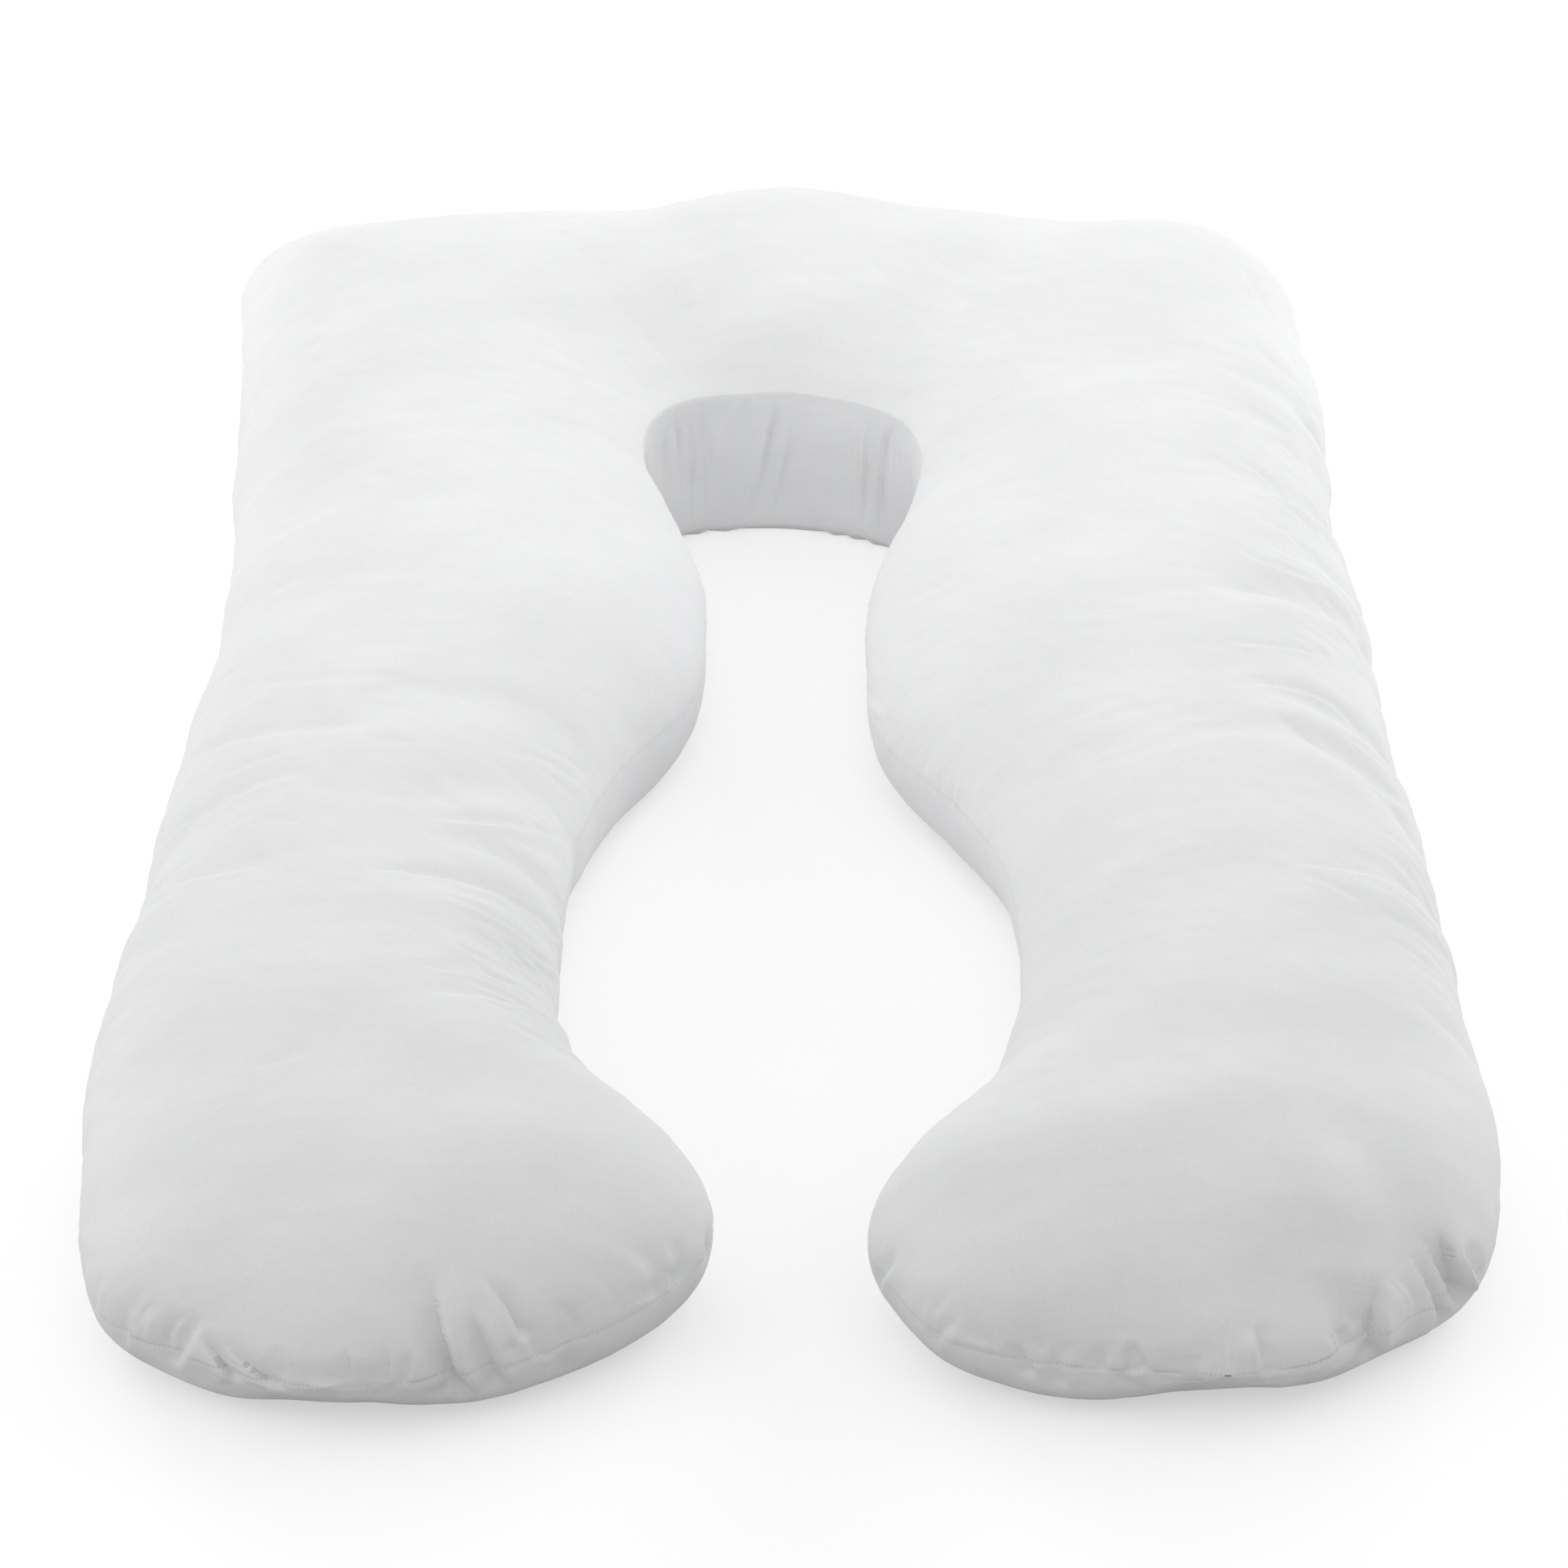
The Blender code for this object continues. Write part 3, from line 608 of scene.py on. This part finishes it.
def closed_faces(along, around):
    """Quads of a closed tube of along cuts, and the fans that shut it at its two end points."""
    i = np.arange(along - 1)[:, None] * around
    j = np.arange(around)[None, :]
    k = (j + 1) % around
    quads = np.stack([i + j, i + k, i + around + k, i + around + j], 2).reshape(-1, 4)
    first, last = along * around, along * around + 1
    ends = (along - 1) * around
    j, k = j[0], k[0]
    fan = np.concatenate([np.stack([np.full(around, first), k, j], 1),
                          np.stack([np.full(around, last), ends + j, ends + k], 1)])
    return quads, fan


def closed_mesh(name, points):
    """Closed skin over the grid without its end cuts, which become the two end points."""
    body = points[1:-1]
    along, around = body.shape[:2]
    quads, fan = closed_faces(along, around)
    verts = np.concatenate([body.reshape(-1, 3), points[:1].mean(1), points[-1:].mean(1)])
    corners = np.concatenate([quads.ravel(), fan.ravel()])
    sizes = np.concatenate([np.full(len(quads), 4), np.full(len(fan), 3)])
    starts = np.concatenate([[0], np.cumsum(sizes)[:-1]])
    mesh = bpy.data.meshes.new(name)
    mesh.vertices.add(len(verts))
    mesh.vertices.foreach_set("co", verts.ravel())
    mesh.loops.add(len(corners))
    mesh.loops.foreach_set("vertex_index", corners.astype(np.int32))
    mesh.polygons.add(len(sizes))
    mesh.polygons.foreach_set("loop_start", starts.astype(np.int32))
    mesh.update(calc_edges=True)
    mesh.validate()
    return mesh


def smooth_along(values, reach, axis):
    """Bell-weighted mean of a grid along one axis; round the cut it wraps."""
    span = np.arange(-2 * reach, 2 * reach + 1)
    weight = np.exp(-(span / reach) ** 2)
    weight /= weight.sum()
    mode = "wrap" if axis == 1 else "edge"
    pad = [(0, 0)] * values.ndim
    pad[axis] = (2 * reach, 2 * reach)
    padded = np.pad(values, pad, mode=mode)
    length = values.shape[axis]
    return sum(w * np.take(padded, range(s + 2 * reach, s + 2 * reach + length), axis=axis)
               for w, s in zip(weight, span))


def fill_cover(cover, pressed):
    """How far filling moves each point of a coarser cover along its normal.

    The cover starts folded and a little small. It is cloth of slightly more area than its
    shape needs, held at its seams, and pressure inside it pushes it out, so it wrinkles away
    from the seams. The broad swelling is taken off and the rest is capped."""
    normal = outward(cover.points)
    start = cover.points - (pressed + SETTLE_INSET * ease(cover.gap / 0.03))[:, :, None] * normal
    mesh = closed_mesh("filling", start)
    thing = bpy.data.objects.new("filling", mesh)
    bpy.context.scene.collection.objects.link(thing)
    around = cover.gap.shape[1]
    cut = np.arange(len(cover.rows) - 2)[:, None] * around
    held = np.concatenate([(cut + 0).ravel(), (cut + cover.over).ravel()])
    seam = thing.vertex_groups.new(name="seam")
    seam.add([int(i) for i in held], 1.0, "REPLACE")
    cloth = thing.modifiers.new("cloth", "CLOTH")
    cloth.point_cache.frame_start = 1
    cloth.point_cache.frame_end = SETTLE_FRAMES
    settings = cloth.settings
    settings.quality = 5
    settings.mass = 0.25
    settings.tension_stiffness = 15
    settings.compression_stiffness = 8
    settings.shear_stiffness = 5
    settings.bending_stiffness = 0.3
    settings.use_pressure = True
    settings.uniform_pressure_force = SETTLE_PRESSURE
    settings.shrink_min = SETTLE_SLACK
    settings.vertex_group_mass = "seam"
    settings.pin_stiffness = 1.0
    settings.effector_weights.gravity = 0.0
    cloth.collision_settings.use_collision = False
    cloth.collision_settings.use_self_collision = False
    scene = bpy.context.scene
    for number in range(1, SETTLE_FRAMES + 1):
        scene.frame_set(number)
    ready = thing.evaluated_get(bpy.context.evaluated_depsgraph_get())
    moved = np.empty(len(ready.data.vertices) * 3)
    ready.data.vertices.foreach_get("co", moved)
    bpy.data.objects.remove(thing, do_unlink=True)
    bpy.data.meshes.remove(mesh)
    scene.frame_set(1)
    moved = moved.reshape(-1, 3)[:-2].reshape(start[1:-1].shape)
    swell = np.zeros(cover.gap.shape)
    swell[1:-1] = ((moved - start[1:-1]) * normal[1:-1]).sum(2)
    fine = swell - smooth_along(smooth_along(swell, reach=5, axis=0), reach=4, axis=1)
    return SETTLE_CAP * np.tanh(fine / SETTLE_CAP)


def slackness(cover):
    """Share of the wrinkling that each point keeps: bells round the slack patches."""
    row = cover.rows[:, None]
    across = np.where(cover.across > 1.5, cover.across - 2, cover.across)[None, :]
    share = np.full(cover.gap.shape, SLACK_ELSEWHERE)
    for patch, at_row, at_across, reach, reach_across, most in SLACK:
        far = ((row - at_row) / reach) ** 2 + ((across - at_across) / reach_across) ** 2
        share = share + most * np.exp(-far)
    return share


def carry_over(coarse, values, fine):
    """Values of the coarser grid at the finer grid's places, cubic both ways."""
    place = np.interp(fine.rows, coarse.rows, np.arange(len(coarse.rows)))
    along = spline(values, place)
    wrapped = np.concatenate([along[:, -2:], along, along[:, :3]], 1)
    across = np.interp(fine.across, np.append(coarse.across, 2.0),
                       np.arange(len(coarse.across) + 1))
    return spline(wrapped.T, across + 2).T


# ---------------------------------------------------------------- the sewn cover
SEAM_LINE = 0.0016      # half width of the line that the stitches draw in
SEAM_RAISED = 0.0005    # how far the turned layers stand up under the seam of the neck
UNEVEN = 0.0016         # height of the filling's own unevenness, broad and fine
UNEVEN_FINE = 0.00012
NEAR_FLOOR = 0.03       # height below which unevenness and wrinkles fade out
NEAR_RIM = 0.03         # and how near the neck's seam they do
SMALL_CUT = 0.12        # a cut shorter than this, seam to seam, takes less relief


def neck_share(cover):
    """How far each point belongs to the inner side of the neck arch, from 0 to 1."""
    along = ease((cover.rows - 17.5) / 1.5) * ease((29.0 - cover.rows) / 1.5)
    return along[:, None] * cover.near_inner[None, :]


def seam_relief(cover):
    """Depth of the seam: a narrow groove at the sewn edge with a low swell each side of it; at
    the neck the two layers turned inside stand up under the seam as a fine raised line."""
    groove = np.exp(-(cover.gap / SEAM_LINE) ** 2)
    swell = np.exp(-((cover.gap - 0.0050) / 0.0030) ** 2)
    plain = 0.0002 * groove - 0.0001 * swell
    raised = -SEAM_RAISED * np.exp(-(cover.gap / 0.0022) ** 2)
    at_neck = neck_share(cover)
    return plain * (1 - at_neck) + raised * at_neck


def make_cover():
    """The finished cover, as one closed mesh. Each point moves in along its normal by the sum
    of the creases, the broad folds, the filling's unevenness and the seam's relief, less what
    filling pushes out. Low on the neck's wall and round its rim they fade, so that the wall
    meets the floor and the seam in clean lines."""
    cover = Cover(ALONG, OVER, UNDER, closer=CLOSE)
    normal = outward(cover.points)
    lines = named_creases(cover) + family_creases(cover)
    uneven = UNEVEN * waves(cover.points, 0.09, 0.30, count=36, seed=21)
    uneven += UNEVEN_FINE * waves(cover.points, 0.02, 0.06, count=48, seed=22)
    height = cover.points[:, :, 2]
    clear = ease(height / NEAR_FLOOR)
    rim = neck_share(cover) * (1 - ease(cover.gap / NEAR_RIM))
    foot_of_wall = neck_share(cover) * (1 - ease((height - 0.002) / 0.024))
    pressed = add_creases(cover, normal, lines) * (1 - foot_of_wall)
    pressed += FOLD_SHARE * broad_folds(cover.points) + uneven * clear * (1 - rim)
    coarse = Cover(SETTLE_ALONG, SETTLE_OVER, SETTLE_UNDER, tight=0.8)
    first = FOLD_SHARE * broad_folds(coarse.points)
    first += add_creases(coarse, outward(coarse.points), named_creases(coarse))
    wrinkles = carry_over(coarse, fill_cover(coarse, first), cover)
    pressed -= wrinkles * slackness(cover) * clear * (1 - rim)
    pressed += seam_relief(cover)
    size = ease(np.minimum(cover.over_length, cover.under_length) / SMALL_CUT)
    shift = -(pressed * size[:, None])[:, :, None] * normal
    points = cover.points + shift
    points[0] += shift[2].mean(0)
    points[-1] += shift[-3].mean(0)
    points[:, :, 2] = np.maximum(points[:, :, 2], 0.0)

    mesh = closed_mesh("sewn_cover", points)
    mesh.shade_smooth()
    number_loops(mesh, cover)
    thing = bpy.data.objects.new("sewn_cover", mesh)
    bpy.context.scene.collection.objects.link(thing)
    return thing


def number_loops(mesh, cover):
    """UV map and point attributes. Each panel lies unrolled round the middle of its cuts, in
    metres, the lower panel beside the upper; seam_gap and seam_run are the distance from the
    nearest seam and the length along it."""
    along, around = cover.gap.shape[0] - 2, cover.gap.shape[1]
    over = (0.5 - cover.over_share)[None, :] * cover.over_length[:, None]
    under = (cover.under_share - 0.5)[None, :] * cover.under_length[:, None]
    top = cover.middle[:, None, :] + cover.chord[:, None, :] * over[:, :, None]
    low = cover.middle[:, None, :] + cover.chord[:, None, :] * under[:, :, None]
    low = low + np.array([0.0, -4.0])
    column = np.arange(around)
    on_top = column < cover.over
    first = np.where(on_top[None, :, None], top[:, np.minimum(column, cover.over)],
                     low[:, np.maximum(column - cover.over, 0)])
    second = np.where(on_top[None, :, None], top[:, np.minimum(column + 1, cover.over)],
                      low[:, np.maximum(column + 1 - cover.over, 0)])
    a, b = first[1:-1], second[1:-1]
    quads = np.stack([a[:-1], b[:-1], b[1:], a[1:]], 2).reshape(-1, 2)
    fan = np.concatenate([np.stack([first[0], b[0], a[0]], 1).reshape(-1, 2),
                          np.stack([first[-1], a[-1], b[-1]], 1).reshape(-1, 2)])
    layer = mesh.uv_layers.new(name="cloth")
    layer.data.foreach_set("uv", np.concatenate([quads, fan]).astype(np.float32).ravel())
    for name, values in (("seam_gap", cover.gap), ("seam_run", cover.seam_run)):
        held = mesh.attributes.new(name, "FLOAT", "POINT")
        flat = np.concatenate([values[1:-1].ravel(), [values[0].mean(), values[-1].mean()]])
        held.data.foreach_set("value", flat.astype(np.float32))


# ---------------------------------------------------------------- finishes
THREAD_PITCH = 0.0007   # one over and one under of the weave
STITCH_PITCH = 0.0032
COTTON = (0.800, 0.802, 0.808, 1.0)
COTTON_BRUSHED = (0.745, 0.748, 0.756, 1.0)
# Grey of the painted shade in each stitch dimple along the seams; the thread itself is white
STITCH_SHADE = (0.55, 0.55, 0.56, 1.0)
MIX_FIRST, MIX_SECOND, MIX_OUT = 6, 7, 2     # a Mix node's sockets for colours


def node(tree, kind, **settings):
    """A node of the tree with its settings made."""
    made = tree.nodes.new(kind)
    for name, value in settings.items():
        setattr(made, name, value)
    return made


def join(tree, value, socket):
    """Link an output to a socket, or set the socket to a plain value."""
    if isinstance(value, bpy.types.NodeSocket):
        tree.links.new(value, socket)
    else:
        socket.default_value = value


def maths(tree, operation, first, second=None, third=None, clamp=False):
    """Output of one Math node."""
    made = node(tree, "ShaderNodeMath", operation=operation, use_clamp=clamp)
    for socket, value in zip(made.inputs, (first, second, third)):
        if value is not None:
            join(tree, value, socket)
    return made.outputs[0]


def effect(name, inputs, outputs):
    """An empty node group: its tree, its input node and its output node."""
    tree = bpy.data.node_groups.new(name, "ShaderNodeTree")
    for label, kind, value in inputs:
        socket = tree.interface.new_socket(label, in_out="INPUT", socket_type=kind)
        if value is not None:
            socket.default_value = value
    for label, kind in outputs:
        tree.interface.new_socket(label, in_out="OUTPUT", socket_type=kind)
    return tree, tree.nodes.new("NodeGroupInput"), tree.nodes.new("NodeGroupOutput")


def noise(tree, vector, scale, detail=2.0, roughness=0.5):
    """Value of a noise texture, 0 to 1."""
    made = node(tree, "ShaderNodeTexNoise")
    join(tree, vector, made.inputs["Vector"])
    join(tree, scale, made.inputs["Scale"])
    made.inputs["Detail"].default_value = detail
    made.inputs["Roughness"].default_value = roughness
    return made.outputs[0]


def stretched(tree, vector, scale, turn=0.0):
    """The vector turned about Z, then scaled along each axis."""
    made = node(tree, "ShaderNodeMapping")
    join(tree, vector, made.inputs["Vector"])
    made.inputs["Rotation"].default_value = (0.0, 0.0, turn)
    made.inputs["Scale"].default_value = scale
    return made.outputs[0]


def plain_weave():
    """Height of a plain weave: threads each way pass over and under, sin(u) * sin(v), with
    slubs where a thread is thicker."""
    tree, given, made = effect("plain weave",
                               [("Vector", "NodeSocketVector", None),
                                ("Pitch", "NodeSocketFloat", THREAD_PITCH),
                                ("Relief", "NodeSocketFloat", 0.00003)],
                               [("Height", "NodeSocketFloat")])
    parts = node(tree, "ShaderNodeSeparateXYZ")
    tree.links.new(given.outputs["Vector"], parts.inputs[0])
    turns = maths(tree, "DIVIDE", 2 * math.pi, given.outputs["Pitch"])
    warp = maths(tree, "SINE", maths(tree, "MULTIPLY", parts.outputs[0], turns))
    weft = maths(tree, "SINE", maths(tree, "MULTIPLY", parts.outputs[1], turns))
    over = maths(tree, "MULTIPLY", warp, weft)
    slub = noise(tree, stretched(tree, given.outputs["Vector"], (60.0, 1400.0, 1.0)), 1.0)
    slub_up = noise(tree, stretched(tree, given.outputs["Vector"], (1400.0, 60.0, 1.0)), 1.0)
    uneven = maths(tree, "ADD", slub, slub_up)
    total = maths(tree, "ADD", over, maths(tree, "MULTIPLY", uneven, 1.6))
    tree.links.new(maths(tree, "MULTIPLY", total, given.outputs["Relief"]), made.inputs["Height"])
    return tree


def brushed_nap():
    """Where the nap is brushed the other way: clouds and faint strokes, 0 to 1, and their
    height."""
    tree, given, made = effect("brushed nap",
                               [("Vector", "NodeSocketVector", None),
                                ("Place", "NodeSocketVector", None),
                                ("Relief", "NodeSocketFloat", 0.00010)],
                               [("Mask", "NodeSocketFloat"), ("Height", "NodeSocketFloat")])
    cloud = noise(tree, given.outputs["Place"], 7.0, detail=5.0, roughness=0.58)
    strokes = noise(tree, stretched(tree, given.outputs["Vector"], (13.0, 62.0, 1.0), 0.10),
                    1.0, detail=5.0, roughness=0.65)
    grain = noise(tree, given.outputs["Vector"], 420.0, detail=2.0, roughness=0.6)
    flecks = noise(tree, given.outputs["Vector"], 280.0, detail=3.0, roughness=0.7)
    mixed = maths(tree, "ADD", maths(tree, "MULTIPLY", cloud, 0.42),
                  maths(tree, "MULTIPLY", strokes, 0.26))
    mixed = maths(tree, "MULTIPLY_ADD", flecks, 0.32, mixed)
    mask = maths(tree, "MULTIPLY_ADD", maths(tree, "SUBTRACT", mixed, 0.5), 4.2, 0.5, clamp=True)
    tree.links.new(mask, made.inputs["Mask"])
    lift = maths(tree, "ADD", maths(tree, "MULTIPLY", strokes, 0.6),
                 maths(tree, "MULTIPLY", grain, 0.5))
    tree.links.new(maths(tree, "MULTIPLY", lift, given.outputs["Relief"]), made.inputs["Height"])
    return tree


def seam_gather():
    """Small gathers across a seam, long away from it and fading with distance, and the dimple
    of each stitch on it. Run is the length along the seam and Gap the distance from it."""
    tree, given, made = effect("seam gather",
                               [("Gap", "NodeSocketFloat", 0.0),
                                ("Run", "NodeSocketFloat", 0.0),
                                ("Place", "NodeSocketVector", None),
                                ("Reach", "NodeSocketFloat", 0.020),
                                ("Relief", "NodeSocketFloat", 0.0009)],
                               [("Height", "NodeSocketFloat"), ("Stitch", "NodeSocketFloat")])
    ratio = maths(tree, "DIVIDE", given.outputs["Gap"], given.outputs["Reach"])
    fade = maths(tree, "EXPONENT", maths(tree, "MULTIPLY", ratio, -1.0))
    where = node(tree, "ShaderNodeCombineXYZ")
    tree.links.new(maths(tree, "MULTIPLY", given.outputs["Run"], 130.0), where.inputs[0])
    tree.links.new(maths(tree, "MULTIPLY", given.outputs["Gap"], 16.0), where.inputs[1])
    gathers = noise(tree, where.outputs[0], 1.0, detail=2.0, roughness=0.55)
    patches = noise(tree, given.outputs["Place"], 6.0, detail=2.0)
    strong = maths(tree, "MULTIPLY_ADD", maths(tree, "SUBTRACT", patches, 0.42), 5.0, 0.25,
                   clamp=True)
    gather = maths(tree, "MULTIPLY", maths(tree, "MULTIPLY", gathers, fade), strong)
    turns = maths(tree, "MULTIPLY", given.outputs["Run"], 2 * math.pi / STITCH_PITCH)
    pull = maths(tree, "MULTIPLY_ADD", maths(tree, "SINE", turns), 0.5, 0.5)
    line = maths(tree, "DIVIDE", given.outputs["Gap"], SEAM_LINE)
    square = maths(tree, "MULTIPLY", line, line)
    on_line = maths(tree, "EXPONENT", maths(tree, "MULTIPLY", square, -1.0))
    stitch = maths(tree, "MULTIPLY", pull, on_line)
    height = maths(tree, "SUBTRACT", gather, maths(tree, "MULTIPLY", stitch, 0.4))
    tree.links.new(maths(tree, "MULTIPLY", height, given.outputs["Relief"]), made.inputs["Height"])
    tree.links.new(stitch, made.inputs["Stitch"])
    return tree


def place_effect(tree, group, **values):
    """A node group placed in a material with its own values."""
    made = node(tree, "ShaderNodeGroup", node_tree=group)
    for name, value in values.items():
        join(tree, value, made.inputs[name])
    return made


def cotton_cover():
    """White brushed cotton: a fine plain weave, a soft nap, gathers at the seams, and painted shade
    that darkens the colour in each stitch dimple.
    """
    material = bpy.data.materials.new("white brushed cotton")
    material.use_nodes = True
    tree = material.node_tree
    shader = tree.nodes["Principled BSDF"]
    cloth = node(tree, "ShaderNodeUVMap", uv_map="cloth").outputs[0]
    place = node(tree, "ShaderNodeTexCoord").outputs["Object"]
    gap = node(tree, "ShaderNodeAttribute", attribute_name="seam_gap").outputs["Fac"]
    run = node(tree, "ShaderNodeAttribute", attribute_name="seam_run").outputs["Fac"]
    weave = place_effect(tree, plain_weave(), Vector=cloth)
    nap = place_effect(tree, brushed_nap(), Vector=cloth, Place=place)
    gather = place_effect(tree, seam_gather(), Gap=gap, Run=run, Place=place)

    tint = node(tree, "ShaderNodeMix", data_type="RGBA")
    join(tree, nap.outputs["Mask"], tint.inputs[0])
    join(tree, COTTON_BRUSHED, tint.inputs[MIX_FIRST])
    join(tree, COTTON, tint.inputs[MIX_SECOND])
    # Painted shade: the colour is drawn a tenth of the way to grey in each stitch dimple on the
    # seams
    stitch_shaded = node(tree, "ShaderNodeMix", data_type="RGBA")
    join(tree, maths(tree, "MULTIPLY", gather.outputs["Stitch"], 0.10), stitch_shaded.inputs[0])
    join(tree, tint.outputs[MIX_OUT], stitch_shaded.inputs[MIX_FIRST])
    join(tree, STITCH_SHADE, stitch_shaded.inputs[MIX_SECOND])
    join(tree, stitch_shaded.outputs[MIX_OUT], shader.inputs["Base Color"])
    rough = maths(tree, "MULTIPLY_ADD", nap.outputs["Mask"], -0.08, 0.90)
    join(tree, rough, shader.inputs["Roughness"])
    shader.inputs["Specular IOR Level"].default_value = 0.25
    shader.inputs["Sheen Weight"].default_value = 0.12
    shader.inputs["Sheen Roughness"].default_value = 0.5

    height = maths(tree, "ADD", weave.outputs["Height"],
                   maths(tree, "ADD", nap.outputs["Height"], gather.outputs["Height"]))
    bump = node(tree, "ShaderNodeBump")
    bump.inputs["Strength"].default_value = 1.0
    bump.inputs["Distance"].default_value = 1.0
    join(tree, height, bump.inputs["Height"])
    join(tree, bump.outputs["Normal"], shader.inputs["Normal"])
    return material


# ---------------------------------------------------------------- floor, light and camera
SKY_DARK = 0.762        # brightness of the white tent round the pillow, and what is added
SKY_BRIGHT = 0.01       # towards the far end and above
SKY_FALL = 1.3          # power of that change
SKY_TOWARDS = (0.0, 0.64, 0.77)
FLOOR_SEEN = 0.56       # white of the floor as it is seen, and what it glows besides
FLOOR_GLOW = 0.48
FLOOR_NEAR = 0.38       # share of light that it throws back in front of the feet
FLOOR_FAR = 0.92        # and between the legs and beyond
FLOOR_EDGE = -0.86      # where it starts to change, and the metres from one to the other
FLOOR_FADE = 0.45
FLOOR_SIZE = 14.0       # from the middle to each edge
FLOOR_LEVEL = -0.0005   # just under the pillow, so that the two don't lie in one plane


def make_floor():
    """Wide white studio floor. It glows a little, so that it stays white, and it is flagged in
    front of the feet, where it throws less light back under them."""
    mesh = bpy.data.meshes.new("studio_floor")
    corners = [(FLOOR_SIZE * x, FLOOR_SIZE * y, FLOOR_LEVEL)
               for x, y in ((-1, -1), (1, -1), (1, 1), (-1, 1))]
    mesh.from_pydata(corners, [], [(0, 1, 2, 3)])
    floor = bpy.data.objects.new("studio_floor", mesh)
    bpy.context.scene.collection.objects.link(floor)
    material = bpy.data.materials.new("white studio floor")
    material.use_nodes = True
    tree = material.node_tree
    shader = tree.nodes["Principled BSDF"]
    shader.inputs["Roughness"].default_value = 0.9
    seen = node(tree, "ShaderNodeLightPath").outputs["Is Camera Ray"]
    parts = node(tree, "ShaderNodeSeparateXYZ")
    join(tree, node(tree, "ShaderNodeTexCoord").outputs["Object"], parts.inputs[0])
    far = maths(tree, "DIVIDE", maths(tree, "SUBTRACT", parts.outputs[1], FLOOR_EDGE), FLOOR_FADE,
                clamp=True)
    bounce = maths(tree, "MULTIPLY_ADD", far, FLOOR_FAR - FLOOR_NEAR, FLOOR_NEAR)
    change = maths(tree, "SUBTRACT", FLOOR_SEEN, bounce)
    shade = maths(tree, "MULTIPLY_ADD", seen, change, bounce)
    join(tree, shade, shader.inputs["Base Color"])
    shader.inputs["Emission Color"].default_value = (1.0, 1.0, 1.0, 1.0)
    join(tree, maths(tree, "MULTIPLY", seen, FLOOR_GLOW), shader.inputs["Emission Strength"])
    mesh.materials.append(material)


# Soft boxes: place (x, y, z), the point each is aimed at, its width, height, watts and spread.
SOFT_BOXES = (
    ("left, behind", -1.8, 2.0, 1.2, -0.3, 0.5, 0.1, 1.4, 0.9, 18.0, 3.14),
    ("right, behind", 1.8, 1.9, 1.2, 0.3, 0.5, 0.1, 1.4, 0.9, 17.0, 3.14),
    ("right", 2.6, 0.4, 1.7, 0.0, 0.0, 0.1, 2.0, 1.4, 11.0, 3.14),
    ("left, in front", -2.6, -1.2, 1.7, 0.0, 0.0, 0.1, 2.0, 1.4, 13.0, 3.14),
    ("over the neck", 0.0, -0.6, 1.2, 0.0, 0.35, 0.05, 0.5, 0.5, 0.25, 0.9),
)


def soft_light(name, place, aim, width, height, power, spread):
    """A rectangular soft box aimed at a point, its light spread over an angle."""
    data = bpy.data.lights.new(name, "AREA")
    data.shape = "RECTANGLE"
    data.size = width
    data.size_y = height
    data.energy = power
    data.spread = spread
    light = bpy.data.objects.new(name, data)
    light.location = place
    light.rotation_euler = (Vector(aim) - Vector(place)).to_track_quat("-Z", "Y").to_euler()
    bpy.context.scene.collection.objects.link(light)


def make_studio():
    """An almost even white tent, with soft boxes that give the folds their shade."""
    scene = bpy.context.scene
    world = bpy.data.worlds.new("studio")
    world.use_nodes = True
    tree = world.node_tree
    backdrop = tree.nodes["Background"]
    heading = node(tree, "ShaderNodeTexCoord").outputs["Generated"]
    towards = node(tree, "ShaderNodeVectorMath", operation="DOT_PRODUCT")
    join(tree, heading, towards.inputs[0])
    join(tree, SKY_TOWARDS, towards.inputs[1])
    share = maths(tree, "MULTIPLY_ADD", towards.outputs["Value"], 0.5, 0.5, clamp=True)
    bright = maths(tree, "MULTIPLY_ADD", maths(tree, "POWER", share, SKY_FALL), SKY_BRIGHT, SKY_DARK)
    backdrop.inputs["Color"].default_value = (1.0, 1.0, 1.0, 1.0)
    join(tree, bright, backdrop.inputs["Strength"])
    scene.world = world
    scene.view_settings.view_transform = "Standard"
    for box in SOFT_BOXES:
        soft_light(box[0], box[1:4], box[4:7], *box[7:])


SENSOR = 36.0           # millimetres
IMAGE_WIDTH = 1932.0    # pixels
FOCAL_LENGTH = 7227.0   # pixels
CAMERA_PLACE = (-CENTRE_OF_PLAN[0], -3.7788, 2.545)
CAMERA_AIM = (-CENTRE_OF_PLAN[0], 0.0362, 0.0)


def make_camera():
    """The camera looks down the pillow from the feet, 33.7 degrees above the floor."""
    data = bpy.data.cameras.new("camera")
    data.sensor_width = SENSOR
    data.lens = SENSOR * FOCAL_LENGTH / IMAGE_WIDTH
    data.clip_start = 0.1
    data.clip_end = 100.0
    camera = bpy.data.objects.new("camera", data)
    camera.location = CAMERA_PLACE
    view = Vector(CAMERA_AIM) - Vector(CAMERA_PLACE)
    camera.rotation_euler = view.to_track_quat("-Z", "Y").to_euler()
    bpy.context.scene.collection.objects.link(camera)
    bpy.context.scene.camera = camera


make_camera()
make_studio()
make_floor()
sewn_cover = make_cover()
sewn_cover.data.materials.append(cotton_cover())
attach(sewn_cover, "root")
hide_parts("pillow")
